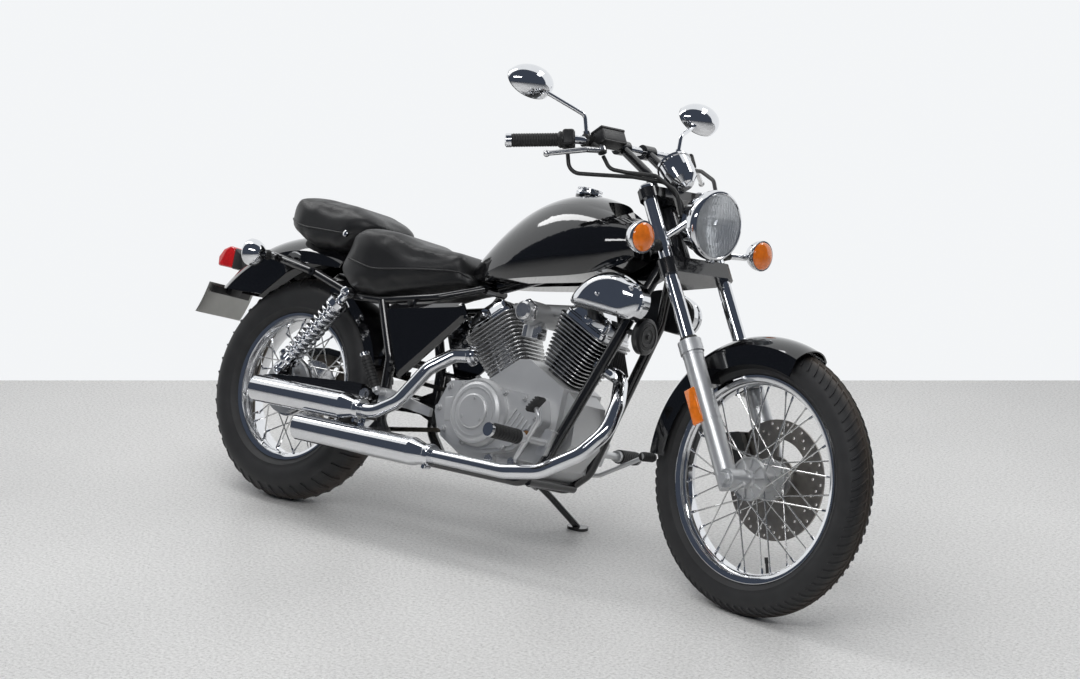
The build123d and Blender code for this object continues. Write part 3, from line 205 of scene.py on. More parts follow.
def standing(origin, y_axis, z_axis):
    """Place of pieces drawn in millimetres about an origin, from two of its axes."""
    turn = Matrix((y_axis.cross(z_axis), y_axis, z_axis)).transposed().to_4x4()
    return Matrix.Translation(origin) @ turn @ Matrix.Scale(0.001, 4)


def joint_line(name):
    return Vector(joints[name]["pos_m"]), Vector(joints[name]["axis"]).normalized()


fork_origin, fork_up = joint_line("steering")
rear_axle, rear_across = joint_line("rear_wheel_spin")
front_axle, front_across = joint_line("front_wheel_spin")
upward = rear_across.cross(fork_up) * sin(RAKE) + fork_up * cos(RAKE)
BIKE = standing(rear_axle - upward * REAR_RADIUS / 1000, rear_across, upward)
FORK = standing(fork_origin, front_across, fork_up)
FRONT_WHEEL = standing(front_axle, front_across, fork_up)
REAR_WHEEL = standing(rear_axle, rear_across, upward)

# ---- Tyres ----
# Road tyres of moulded rubber on both wheels: a round crown with slanted grooves cut to the
# shoulders, dusty where it runs, and smooth sidewalls that end in the rim's bead.
GROOVE_DEEP = 3.2
GROOVE_EDGE = 0.9  # sloping side of a groove
SIPE_DEEP = 1.2  # the rear tyre's shallow cuts, between its grooves
SIPE_EDGE = 1.6
SIPED = (16, 33)  # from and to, each side of the middle
DUSTY = 0.62  # of the grooved width
# name, place, crown (radius, arc, last angle), sidewall from the shoulder to the bead,
# grooves round the tyre, steps from one to the next, slant, grooved from and to, ring grooves
TYRES = (
    ("front", FRONT_WHEEL, (FRONT_RADIUS, 41, 46),
     ((35.5, 291.8), (38.8, 283.5), (40, 273), (39, 262), (36.6, 254.5), (37.1, 253), (35.6, 251.5),
      (31, 245), (25.5, 241), (23, 239), (23, 228.4)), 84, 4, 0.95, 7, 34, ((3.6, 6.2),)),
    ("rear", REAR_WHEEL, (REAR_RADIUS, 60, 50),
     ((55.5, 278.5), (61.5, 269), (64.6, 258), (64.4, 244), (61, 231), (57.5, 222), (58, 220),
      (56, 218), (49, 210), (42.5, 206), (40, 204), (40, 193.6)), 44, 8, 0.34, 9, 58, ()),
)
CROWN_STATIONS = {"front": (0, 3.6, 6.2, 12, 18, 24), "rear": (0, 4, 9, 16, 24, 33, 40)}


def finish(name, colour, roughness, metal=0.0, coat=0.0, shade=0.12, grain=30, bump=0.0,
           bump_scale=400, rough_spread=0.06):
    """Material whose colour and gloss drift over the surface, with a fine relief."""
    material = bpy.data.materials.new(name)
    material.use_nodes = True
    tree = material.node_tree
    shader = tree.nodes["Principled BSDF"]
    shader.inputs["Metallic"].default_value = metal
    shader.inputs["Coat Weight"].default_value = coat
    shader.inputs["Coat Roughness"].default_value = 0.03
    place = wired(material, "TexCoord")
    noise = wired(material, "TexNoise", Scale=grain, Detail=6)
    joined(place, "Object", noise, "Vector")
    tone = ramp_of(material, noise.outputs["Fac"],
                   ((0.3, [c * (1 - shade) for c in colour]), (0.7, colour)))
    joined(tone, "Color", shader, "Base Color")
    spread = wired(material, "MapRange", To_Min=max(roughness - rough_spread, 0.02),
                   To_Max=roughness + rough_spread)
    joined(noise, "Fac", spread, "Value")
    joined(spread, "Result", shader, "Roughness")
    if bump:
        fine = wired(material, "TexNoise", Scale=bump_scale, Detail=4)
        relief = wired(material, "Bump", Strength=bump, Distance=0.001)
        joined(place, "Object", fine, "Vector")
        joined(fine, "Fac", relief, "Height")
        joined(relief, "Normal", shader, "Normal")
    return material


def finished(name, build, place, body, materials, replaced=(), sharp=34):
    """Piece of the machine from a mesh in millimetres, in its place on a body."""
    bmesh.ops.transform(build, matrix=place, verts=build.verts)
    bmesh.ops.recalc_face_normals(build, faces=build.faces)
    mesh = bpy.data.meshes.new(name)
    build.to_mesh(mesh)
    build.free()
    for material in materials:
        mesh.materials.append(material)
    mesh.shade_smooth()
    mesh.set_sharp_from_angle(angle=radians(sharp))
    piece = placed(name, mesh)
    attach(piece, body)
    if replaced:
        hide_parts(*replaced)


def spun(build, profile, steps, slant=lambda y: 0.0, closed=True):
    """Ring turned about the Y axis through (y, radius) points, each set round by its slant."""
    verts = [build.verts.new((radius * sin(slant(y)), y, radius * cos(slant(y))))
             for y, radius in profile]
    pairs = zip(verts, verts[1:] + verts[:1]) if closed else zip(verts, verts[1:])
    edges = [build.edges.new(pair) for pair in pairs]
    bmesh.ops.spin(build, geom=verts + edges, axis=(0, 1, 0), cent=(0, 0, 0), steps=steps,
                   angle=2 * pi, use_merge=True)
    bmesh.ops.remove_doubles(build, verts=build.verts, dist=0.001)


rubber = finish("tyre_rubber", (0.028, 0.028, 0.029), 0.58, bump=0.25, shade=0.3)
shader = rubber.node_tree.nodes["Principled BSDF"]
worn = wired(rubber, "Attribute")
worn.attribute_name = "crown"
streak = wired(rubber, "TexNoise", Scale=240, Detail=6)
place = wired(rubber, "TexCoord")
dust = wired(rubber, "Math")
dust.operation = "MULTIPLY"
brown = wired(rubber, "Mix")
brown.data_type = "RGBA"
brown.inputs["B"].default_value = (0.115, 0.088, 0.066, 1)
joined(place, "Object", streak, "Vector")
joined(worn, "Fac", dust, 0)
joined(streak, "Fac", dust, 1)
joined(dust, "Value", brown, "Factor")
rubber.node_tree.links.new(shader.inputs["Base Color"].links[0].from_socket, brown.inputs["A"])
joined(brown, "Result", shader, "Base Color")

for name, place, crown, wall, count, steps, slant, low, high, rings in TYRES:
    outer, arc, last = crown
    half = [(y, outer - arc + sqrt(arc * arc - y * y)) for y in CROWN_STATIONS[name]]
    half += [(arc * sin(radians(last)), outer - arc * (1 - cos(radians(last)))), *wall]
    build = bmesh.new()
    spun(build, [(-y, r) for y, r in half[:0:-1]] + half, count * steps,
         lambda y: slant * min(abs(y), high) / outer)
    crown_layer = build.verts.layers.float.new("crown")
    for vert in build.verts:
        across = abs(vert.co.y)
        vert[crown_layer] = max(0, 1 - across / (DUSTY * high)) ** 0.7 \
            if hypot(vert.co.x, vert.co.z) > outer - 20 else 0
    grooves = []
    shallow = []
    for face in build.faces:
        middle = face.calc_center_median()
        if hypot(middle.x, middle.z) < outer - 45:
            continue
        turn = atan2(middle.x, middle.z) - slant * min(abs(middle.y), high) / outer
        step = round((turn / (2 * pi) * count * steps) - 0.5) % steps
        if any(inner < abs(middle.y) < rim for inner, rim in rings):
            grooves.append(face)
        elif step == (0 if middle.y > 0 else steps // 2) and low < abs(middle.y) < high:
            grooves.append(face)
        elif name == "rear" and step in (2, 6) and SIPED[0] < abs(middle.y) < SIPED[1]:
            shallow.append(face)
    bmesh.ops.inset_region(build, faces=grooves, thickness=GROOVE_EDGE, depth=-GROOVE_DEEP,
                           use_even_offset=True)
    if shallow:
        bmesh.ops.inset_region(build, faces=shallow, thickness=SIPE_EDGE, depth=-SIPE_DEEP,
                               use_even_offset=True)
    finished(f"{name}_road_tyre", build, place, f"{name}_wheel", [rubber],
             [f"{name}_tyre"], sharp=38)

# ---- Rims ----
# Chromed steel rims with a rolled lip and a dropped well, which the nipples come through.
# Half of the section, from the bead's seat over the lip to the middle of the well
chrome = finish("chrome_plate", (0.82, 0.83, 0.85), 0.055, metal=1.0, rough_spread=0.02, shade=0.05)
RIMS = (
    ("front", FRONT_WHEEL, ((23, 228), (23.2, 237.5), (24.4, 240), (26.6, 240.6), (28.4, 239),
                            (28.6, 236), (27.4, 230), (26.2, 225.5), (23, 223), (18, 222),
                            (15, 218.6), (12, 217.2), (6, 216.9), (0, 216.8)), 30),
    ("rear", REAR_WHEEL, ((40, 193), (40.2, 202.5), (41.4, 205), (43.6, 205.6), (45.4, 204),
                          (45.6, 201), (44.4, 196), (43, 191.5), (39, 189), (31, 188), (27, 185),
                          (22, 183), (12, 182.2), (0, 182)), 30),
)
for name, place, half, angle in RIMS:
    build = bmesh.new()
    spun(build, [(-y, r) for y, r in half[:-1]] + list(half[::-1]), 160)
    finished(f"{name}_wheel_rim", build, place, f"{name}_wheel", [chrome],
             [f"{name}_rim"], sharp=angle)

# ---- Hubs, spokes and nipples ----
# Cast hubs with ribbed faces, 36 laced steel spokes to a wheel, crossing in pairs, and a brass
# nipple, plated, where each goes through the rim. The front hub carries the brake disc.
satin = finish("satin_alloy", (0.66, 0.665, 0.67), 0.30, metal=0.62, coat=0.25, bump=0.10,
               bump_scale=900, shade=0.06)
polished = finish("polished_alloy", (0.74, 0.74, 0.745), 0.16, metal=0.92, bump=0.03, shade=0.06)
wire = finish("spoke_steel", (0.72, 0.72, 0.71), 0.2, metal=0.9, shade=0.1)
dark_rubber = finish("moulded_rubber", (0.022, 0.022, 0.022), 0.55, bump=0.2, bump_scale=700)
SPOKES = 36
SPOKE_R = 1.9
# name, place, axle's half section (y, radius), flanges and their radius, rim's well, half
# spread at the rim, lacing angle
HUBS = (
    ("front", FRONT_WHEEL, ((-48, 9), (-48, 19), (-46, 21), (-41, 22), (-39.5, 30), (-38.5, 46),
                            (-41.5, 47), (-42, 50.5), (-33, 51), (-31, 49), (-29, 31), (-20, 27),
                            (18, 27), (26, 31), (27, 49), (29, 50.5), (32, 50), (34, 35),
                            (48, 34.5), (49, 46), (56.5, 46), (56.5, 30), (62, 30), (62, 9)),
     (-33, 30), 49, 217, 8, 52),
    ("rear", REAR_WHEEL, ((-50, 9), (-50, 60), (-49, 82), (-47, 84), (-44, 84), (-42, 82),
                          (-41, 79.5), (-38, 78.5), (-35, 79.5), (-32, 78.5), (-29, 79.5),
                          (-26, 78.5), (-22, 79), (-18, 64), (-10, 48), (28, 47), (34, 60),
                          (36, 82), (38, 84), (41, 84), (43, 80), (44, 62), (66, 61.5), (66, 9)),
     (-46, 40), 82, 182.3, 14, 34),
)


def rod(build, start, end, radius, tip=None, sides=12):
    """Round bar or cone from one point to another."""
    run = Vector(end) - Vector(start)
    turn = run.to_track_quat("Z", "Y").to_matrix().to_4x4()
    middle = Matrix.Translation(Vector(start) + run / 2)
    return bmesh.ops.create_cone(build, cap_ends=True, segments=sides, radius1=radius,
                                 radius2=radius if tip is None else tip, depth=run.length,
                                 matrix=middle @ turn)["verts"]


def rounded(build, edges, bevel, segments):
    """Rounds edges off."""
    bmesh.ops.bevel(build, geom=list(edges), offset=bevel, segments=segments, profile=0.5,
                    affect="EDGES", material=-1)


def block(build, centre, size, turn=None, bevel=0, segments=2):
    """Box with rounded edges, about its centre."""
    place = Matrix.Translation(centre) @ (turn or Matrix()) @ Matrix.Diagonal((*size, 1))
    made = bmesh.ops.create_cube(build, size=1, matrix=place)["verts"]
    if bevel:
        rounded(build, {edge for vert in made for edge in vert.link_edges}, bevel, segments)


for name, place, section, flanges, flange_r, well, spread, lacing in HUBS:
    build = bmesh.new()
    spun(build, section, 96)
    if name == "front":
        for rib in range(10):
            turn = Matrix.Rotation(2 * pi * rib / 10, 4, "Y")
            block(build, turn @ Vector((0, -41, 33)), (3.6, 7, 27), turn, 0.8)
    finished(f"{name}_hub_casting", build, place, f"{name}_wheel",
             [satin if name == "front" else polished], [f"{name}_hub"])
    build = bmesh.new()
    nuts = bmesh.new()
    for number in range(SPOKES):
        turn = 2 * pi * number / SPOKES
        side = 1 if number % 2 else -1
        cross = 1 if number // 2 % 2 else -1
        hub_turn = turn + cross * radians(lacing)
        hub_y = flanges[side > 0] + cross * 2
        start = Vector(((flange_r - 5) * cos(hub_turn), hub_y, (flange_r - 5) * sin(hub_turn)))
        end = Vector(((well + 1) * cos(turn), side * spread, (well + 1) * sin(turn)))
        inward = (start - end).normalized()
        rod(build, start, end, SPOKE_R, sides=10)
        head = start - Vector((0, cross * 6, 0))
        rod(build, head, start + Vector((0, cross * 2, 0)), SPOKE_R, sides=8)
        rod(build, start + Vector((0, cross * 1.4, 0)), start + Vector((0, cross * 3.2, 0)), 3.6,
            2.4, 10)
        rod(nuts, end, end + inward * 3, 4.6, 3.6, 12)
        rod(nuts, end + inward * 2, end + inward * 15, 3.1, 2.9, 6)
    finished(f"{name}_spokes", build, place, f"{name}_wheel", [wire])
    finished(f"{name}_nipples", nuts, place, f"{name}_wheel", [chrome])

    build = bmesh.new()
    valve = Matrix.Rotation(radians(14 if name == "front" else 80), 4, "Y")
    rod(build, valve @ Vector((0, 0, -well + 2)), valve @ Vector((0, 0, 24 - well)), 4.2, 3.4, 12)
    rod(build, valve @ Vector((0, 0, 24 - well)), valve @ Vector((0, 0, 38 - well)), 4.6, 4.2, 12)
    finished(f"{name}_tyre_valve", build, place, f"{name}_wheel", [dark_rubber])

# ---- Brake disc ----
# Drilled steel disc, on an alloy carrier with six button bolts, at the front wheel's left.
disc_steel = finish("disc_steel", (0.36, 0.335, 0.31), 0.3, metal=0.95, grain=60, shade=0.25)


def repainted(names, material):
    """Gives kept CAD nodes a material in place of their own."""
    for name in names:
        nodes[name].data.materials.clear()
        nodes[name].data.materials.append(material)


repainted(["brake_disc"], disc_steel)
build = bmesh.new()
spun(build, ((62.2, 30), (62.2, 52), (63.6, 53), (64.6, 50), (65.4, 34), (64.4, 30)), 72)
for bolt in range(6):
    turn = Matrix.Rotation(2 * pi * (bolt + 0.5) / 6, 4, "Y")
    rod(build, turn @ Vector((0, 62, 46)), turn @ Vector((0, 68, 46)), 6.5, 5, 16)
finished("disc_carrier", build, FRONT_WHEEL, "front_wheel", [satin])

# ---- Cylinders ----
# Two finned barrels in a V on the crankcase: the rear one left bright, the front one enamelled
# black with the fins' rims machined bright. Four ribs run up through the fins of each.
CRANK = (822, 335)  # crankshaft, x and z
CYLINDERS = (("rear", -37), ("front", 25))  # tilt from the vertical, degrees
CYLINDER_BASE = 140  # along the cylinder from the crank
FIN_TOP = 285
FIN_COUNT = 14
FIN_T = 3.2
FIN_SIZES = (124, 168)  # across the lowest and the highest
FIN_DEEP = 0.86  # of that, across the machine
FIN_CORNER = 0.16
bright_fin = finish("bright_fin", (0.70, 0.70, 0.70), 0.24, metal=0.85, bump=0.08, shade=0.1)
barrel_black = finish("barrel_enamel", (0.016, 0.016, 0.017), 0.36, coat=0.3, bump=0.2)


def on_cylinder(tilt, along):
    """Place on a cylinder, Z up it, at a distance from the crank."""
    lean = Matrix.Rotation(radians(tilt), 4, "Y")
    return BIKE @ Matrix.Translation((CRANK[0], 0, CRANK[1])) @ lean \
        @ Matrix.Translation((0, 0, along))


def merged(build, part):
    """Adds one bmesh to another, and frees it."""
    held = bpy.data.meshes.new("held")
    part.to_mesh(held)
    part.free()
    build.from_mesh(held)
    bpy.data.meshes.remove(held)


for name, tilt in CYLINDERS:
    build = bmesh.new()
    for fin in range(FIN_COUNT):
        share = fin / (FIN_COUNT - 1)
        size = FIN_SIZES[0] + (FIN_SIZES[1] - FIN_SIZES[0]) * share
        height = 8 + (FIN_TOP - CYLINDER_BASE - 8 - FIN_T) * share
        plate = bmesh.new()
        bmesh.ops.create_cube(plate, size=1, matrix=Matrix.Translation((0, 0, height + FIN_T / 2))
                              @ Matrix.Diagonal((size, size * FIN_DEEP, FIN_T, 1)))
        rounded(plate, [edge for edge in plate.edges
                        if abs(edge.verts[0].co.z - edge.verts[1].co.z) > 1], size * FIN_CORNER, 5)
        rounded(plate, [edge for edge in plate.edges
                        if abs(edge.verts[0].co.z - edge.verts[1].co.z) < 0.1], 0.9, 2)
        merged(build, plate)
    build.normal_update()
    for face in build.faces:
        face.material_index = 0 if abs(face.normal.z) > 0.9 else 1
    rod(build, (0, 0, 0), (0, 0, FIN_TOP - CYLINDER_BASE), 50, sides=48)
    for x in (-22, 22):
        for y in (-49, 49):
            block(build, (x, y, 76), (5, 7, 138), bevel=1)
    finished(f"{name}_cylinder", build, on_cylinder(tilt, CYLINDER_BASE), "chassis",
             [bright_fin, bright_fin] if name == "rear" else [barrel_black, bright_fin],
             ["cylinders"], sharp=28)

# ---- Rocker covers ----
# Chromed covers in two steps on top of each cylinder, held down by four domed nuts on washers,
# with a gasket line between the steps.
COVER_SLICES = ((0, 148, 130, 24), (11, 148, 130, 24), (13, 144, 126, 23), (16, 144, 126, 23),
                (18, 136, 122, 22), (34, 124, 113, 20), (46, 104, 104, 19), (51, 88, 96, 18))


def slab_loft(build, slices, corner_steps=3):
    """Body through rounded rectangles: height, length, width and corner of each."""
    loops = []
    for up, long, wide, corner in slices:
        ring = []
        for turn in range(4):
            sign_x = (1, -1, -1, 1)[turn]
            sign_y = (1, 1, -1, -1)[turn]
            for step in range(corner_steps + 1):
                angle = radians(90 * turn + 90 * step / corner_steps)
                ring.append(build.verts.new((sign_x * (long / 2 - corner) + corner * cos(angle),
                                             sign_y * (wide / 2 - corner) + corner * sin(angle),
                                             up)))
        loops.append([build.edges.new(pair) for pair in zip(ring, ring[1:] + ring[:1])])
    for low, high in zip(loops, loops[1:]):
        bmesh.ops.bridge_loops(build, edges=low + high)
    bmesh.ops.holes_fill(build, edges=loops[0] + loops[-1])


def domed_nut(build, foot, up, radius):
    """Hexagon nut with a domed end, on a round washer."""
    up = Vector(up).normalized()
    foot = Vector(foot)
    rod(build, foot, foot + up * radius * 0.25, radius * 1.45, sides=20)
    rod(build, foot + up * radius * 0.2, foot + up * radius * 1.15, radius * 1.12, sides=6)
    rod(build, foot + up * radius * 1.1, foot + up * radius * 1.5, radius * 0.92, radius * 0.75, 16)
    rod(build, foot + up * radius * 1.5, foot + up * radius * 1.75, radius * 0.75, radius * 0.3, 16)


for name, tilt in CYLINDERS:
    build = bmesh.new()
    slab_loft(build, COVER_SLICES)
    for x in (-55, 55):
        for y in (-46, 46):
            rod(build, (x, y, 10), (x, y, 33), 9.5, 8.6, 24)
            domed_nut(build, (x, y, 33), (0, 0, 1), 5)
    for y in (-1, 1):
        rod(build, (0, y * 52, 26), (0, y * 64, 26), 17, 15, 32)
        domed_nut(build, (0, y * 63, 26), (0, y, 0), 5)
    finished(f"{name}_rocker_cover", build, on_cylinder(tilt, FIN_TOP), "chassis", [chrome],
             ["head_covers"], sharp=26)

# ---- Crankcase and its covers ----
# Silver-painted castings. The right cover has a round clutch bulge with a blank cap on three
# screws, slanted ribs, an oil sight glass and socket bolts all round its rim; the left ones
# cover the generator and the drive sprocket.
casting = finish("painted_casting", (0.60, 0.605, 0.61), 0.36, metal=0.5, coat=0.15, bump=0.22,
                 bump_scale=1500, shade=0.07, grain=14)
repainted(("crankcase", "engine_covers"), casting)
CLUTCH = (733, 336)
ROTOR = (832, 335)
COVER_BOLTS = ((600, 330), (622, 388), (662, 398), (800, 397), (862, 393), (905, 350), (868, 296),
               (820, 262), (690, 256), (628, 280))


def ring_at(build, profile, steps, place, closed=True):
    """Ring turned as spun turns it, in a place on the piece."""
    ring = bmesh.new()
    spun(ring, profile, steps, closed=closed)
    bmesh.ops.transform(ring, verts=ring.verts, matrix=place)
    merged(build, ring)


def on_circle(centre, radius, angles):
    """Points (x, z) round a centre, at angles in degrees."""
    return [(centre[0] + radius * cos(radians(angle)), centre[1] + radius * sin(radians(angle)))
            for angle in angles]


build = bmesh.new()
for x, z in COVER_BOLTS:
    rod(build, (x, -119, z), (x, -128, z), 8.5, 8, 24)
    rod(build, (x, -128, z), (x, -134, z), 5.6, 5.2, 16)
for x, z in on_circle(CLUTCH, 33, (90, 210, 330)):
    rod(build, (x, -157, z), (x, -161.5, z), 4.4, 3.6, 14)
for radius, out in ((78, -146.5), (60, -152.2)):
    ring_at(build, ((out + 2, radius - 2.5), (out - 0.6, radius - 1.6), (out - 0.6, radius + 1.6),
                    (out + 2, radius + 2.5)), 96, Matrix.Translation((CLUTCH[0], 0, CLUTCH[1])))
for rib in range(5):
    block(build, (822 + 15 * rib, -125.5, 322 - 4 * rib), (4.5, 5, 92 - 9 * rib),
          Matrix.Rotation(radians(28), 4, "Y"), 1.4)
block(build, (640, -122, 332), (44, 8, 62), Matrix.Rotation(radians(-12), 4, "Y"), 3.5, 3)
for x, z in on_circle(ROTOR, 71, range(20, 380, 60)):
    rod(build, (x, 122, z), (x, 134, z), 8, 7.4, 20)
    rod(build, (x, 134, z), (x, 139, z), 5, 4.6, 6)
finished("engine_cover_fittings", build, BIKE, "chassis", [casting], sharp=30)

build = bmesh.new()
rod(build, (893, -123, 306), (893, -133, 306), 13, 12, 32)
rod(build, (800, -124, 226), (800, -142, 226), 15, 15, 6)
rod(build, (866, -120, 232), (866, -136, 232), 12, 12, 6)
rod(build, (700, -124, 404), (716, -134, 420), 9, 8, 20)
finished("engine_plugs", build, BIKE, "chassis", [polished], sharp=30)
sight_glass = finish("oil_glass", (0.20, 0.10, 0.035), 0.08, coat=1.0, shade=0.5, grain=300)
build = bmesh.new()
rod(build, (893, -133, 306), (893, -134.4, 306), 9.5, 9, 32)
finished("oil_sight_glass", build, BIKE, "chassis", [sight_glass])

# ---- Air cleaners ----
# A chromed teardrop cover on each side of the front cylinder, pressed from sheet with a raised
# band, on a black backplate and an intake pipe.
SIDES = (1, -1)  # left, right
POD_Y = 100  # inner face, from the centre plane
POD_HEART = (1050, 668)  # x and z that the outline closes in on
POD_ARCS = (((942, 640), (1022, 722), (1122, 712)), ((1122, 712), (1155, 665), (1120, 620)))
POD_SLICES = ((0, 0), (24, 0.02), (27, -0.005), (36, -0.005), (39, 0.04), (48, 0.09), (56, 0.17),
              (62, 0.29), (65, 0.44), (66, 0.68))  # out from the inner face, share closed in


def arc_points(start, middle, end, count):
    """Points of the round arc through three (x, z) points, without its end."""
    (ax, az), (bx, bz), (cx, cz) = start, middle, end
    d = 2 * (ax * (bz - cz) + bx * (cz - az) + cx * (az - bz))
    a2, b2, c2 = ax * ax + az * az, bx * bx + bz * bz, cx * cx + cz * cz
    x = (a2 * (bz - cz) + b2 * (cz - az) + c2 * (az - bz)) / d
    z = (a2 * (cx - bx) + b2 * (ax - cx) + c2 * (bx - ax)) / d
    radius = hypot(ax - x, az - z)
    first = atan2(az - z, ax - x)
    sweep = atan2(cz - z, cx - x) - first
    if sweep > 0:
        sweep -= 2 * pi
    angles = [first + sweep * i / count for i in range(count)]
    return [(x + radius * cos(angle), z + radius * sin(angle)) for angle in angles]


def lofted(build, rings):
    """Closed body through rings of the same number of points."""
    loops = []
    for ring in rings:
        verts = [build.verts.new(point) for point in ring]
        loops.append([build.edges.new(pair) for pair in zip(verts, verts[1:] + verts[:1])])
    for low, high in zip(loops, loops[1:]):
        bmesh.ops.bridge_loops(build, edges=low + high)
    bmesh.ops.holes_fill(build, edges=loops[0] + loops[-1])


outline = [point for arc in POD_ARCS for point in arc_points(*arc, 26)]
outline += [(1120 - (1120 - 942) * i / 26, 620 + (640 - 620) * i / 26) for i in range(26)]
for _ in range(5):  # rounds the two corners
    outline = [((a[0] + 2 * b[0] + c[0]) / 4, (a[1] + 2 * b[1] + c[1]) / 4)
               for a, b, c in zip(outline[-1:] + outline[:-1], outline, outline[1:] + outline[:1])]
for side, word in zip(SIDES, ("left", "right")):
    build = bmesh.new()
    lofted(build, [[(x + (POD_HEART[0] - x) * share, side * (POD_Y + out),
                     z + (POD_HEART[1] - z) * share) for x, z in outline]
                   for out, share in POD_SLICES])
    domed_nut(build, (POD_HEART[0] - 8, side * (POD_Y + 65.6), POD_HEART[1]), (0, side, 0), 4)
    finished(f"air_cleaner_{word}", build, BIKE, "chassis", [chrome], ["air_cleaners"],
             sharp=24)
    build = bmesh.new()
    lofted(build, [[(x + (POD_HEART[0] - x) * share, side * (POD_Y + out),
                     z + (POD_HEART[1] - z) * share) for x, z in outline]
                   for out, share in ((-6, 0.16), (-5, 0.03), (1, 0.0))])
    rod(build, (962, side * 48, 622), (985, side * (POD_Y - 2), 662), 16, sides=32)
    finished(f"air_backplate_{word}", build, BIKE, "chassis", [barrel_black])

# ---- Carburettor ----
# Alloy body between the cylinders with a six-sided vacuum cap on six screws, a round dome on
# that, and a float bowl under it.
CARB = (795, 606)
repainted(["carburettor"], casting)
build = bmesh.new()
rod(build, (CARB[0], -96, CARB[1]), (CARB[0], -104, CARB[1]), 33, 31, 6)
rod(build, (CARB[0], -116, CARB[1]), (CARB[0], -121, CARB[1]), 23, 18, 32)
for x, z in on_circle(CARB, 26, range(30, 390, 60)):
    rod(build, (x, -104, z), (x, -109, z), 3.6, 3.2, 12)
rod(build, (CARB[0] + 36, -64, CARB[1] - 40), (CARB[0] + 36, -84, CARB[1] - 40), 9, 9, 24)
block(build, (CARB[0], -52, CARB[1] - 46), (52, 40, 36), bevel=5, segments=3)
finished("carburettor_fittings", build, BIKE, "chassis", [polished], sharp=28)

# ---- Exhaust ----
# Chromed pipes and two round mufflers, one over the other, on bolted clamps, with a flange at
# each head and a sooty bore inside each tail.
MUFFLER_Y = -172
MUFFLERS = ((-5, 392, 284), (178, 652, 207))  # tail, front, height
AHEAD = Matrix.Rotation(radians(-90), 4, "Z")  # turns the Y axis forwards
soot = finish("soot", (0.012, 0.011, 0.010), 0.9, shade=0.4)
repainted(("exhaust_pipes", "mufflers"), chrome)
build = bmesh.new()
bores = bmesh.new()
for tail, front, z in MUFFLERS:
    ring_at(build, ((0, 27.5), (2, 29), (12, 29), (14, 27.5)), 64,
            Matrix.Translation((front - 17, MUFFLER_Y, z)) @ AHEAD)
    block(build, (front - 10, MUFFLER_Y - 6, z - 31), (14, 16, 9), bevel=1.5)
    rod(build, (front - 10, MUFFLER_Y - 18, z - 31), (front - 10, MUFFLER_Y + 8, z - 31), 3.4,
        sides=12)
    rod(build, (front - 10, MUFFLER_Y - 20, z - 31), (front - 10, MUFFLER_Y - 14, z - 31), 6, 6, 6)
    ring_at(bores, ((1, 23.7), (1, 23.4), (58, 23.4), (58, 23.7)), 48,
            Matrix.Translation((tail, MUFFLER_Y, z)) @ AHEAD)
    rod(bores, (tail + 56, MUFFLER_Y, z), (tail + 59.5, MUFFLER_Y, z), 23.6, sides=48)
for x, y, z, run in ((634, -79.5, 474, (-1, -0.16, -0.28)), (996, -16, 505, (1, -0.12, -0.34))):
    run = Vector(run).normalized()
    foot = Vector((x, y, z))
    rod(build, foot - run * 6, foot + run * 3, 27, 27, 40)
    rod(build, foot + run * 3, foot + run * 9, 24, 20.5, 40)
finished("muffler_clamps", build, BIKE, "chassis", [chrome], sharp=28)
finished("muffler_bores", bores, BIKE, "chassis", [soot])

# ---- Rear shock absorbers ----
# Chromed dampers with a real coil spring round each, between two cups, on rubber bushed eyes
# with domed nuts.
SHOCK_TOP = (226, 578)
SHOCK_FOOT = (40, 346)
SHOCK_Y = 143
COIL_R = 24
COIL_WIRE = 4.4
COILS = 11
shock_long = hypot(SHOCK_TOP[0] - SHOCK_FOOT[0], SHOCK_TOP[1] - SHOCK_FOOT[1])
shock_tilt = atan2(SHOCK_TOP[0] - SHOCK_FOOT[0], SHOCK_TOP[1] - SHOCK_FOOT[1])
# from and to along the damper, radius, tip, sides
DAMPER = ((10, 40, 15, 15, 40), (38, 46, 31, 31, 48), (28, 38, 20, 31, 48),
          (46, shock_long - 40, 17, 17, 40), (shock_long - 46, shock_long - 30, 30, 29, 48),
          (shock_long - 30, shock_long - 24, 29, 16, 48),
          (shock_long - 26, shock_long - 8, 13, 12, 32))
for side, word in zip(SIDES, ("left", "right")):
    build = bmesh.new()
    low, high = 50, shock_long - 48  # ends of the coil
    wire_ring = [build.verts.new((COIL_R + COIL_WIRE * cos(2 * pi * i / 10), 0,
                                  low + COIL_WIRE * sin(2 * pi * i / 10))) for i in range(10)]
    loop = [build.edges.new(pair) for pair in zip(wire_ring, wire_ring[1:] + wire_ring[:1])]
    steps = COILS * 28
    bmesh.ops.spin(build, geom=wire_ring + loop, axis=(0, 0, 1), cent=(0, 0, 0), steps=steps,
                   angle=2 * pi * COILS, dvec=(0, 0, (high - low) / steps))
    for start, end, radius, tip, sides in DAMPER:
        rod(build, (0, 0, start), (0, 0, end), radius, tip, sides)
    for z in (0, shock_long):
        rod(build, (0, -11.5, z), (0, 11.5, z), 14.5, sides=32)
        rod(build, (0, -13, z), (0, -11.5, z), 12, 14.5, 32)
        rod(build, (0, 11.5, z), (0, 13, z), 14.5, 12, 32)
        domed_nut(build, (0, side * 13, z), (0, side, 0), 6)
    place = BIKE @ Matrix.Translation((SHOCK_FOOT[0], side * SHOCK_Y, SHOCK_FOOT[1])) \
        @ Matrix.Rotation(shock_tilt, 4, "Y")
    finished(f"shock_{word}", build, place, "chassis", [chrome], ["rear_shocks"],
             sharp=40)

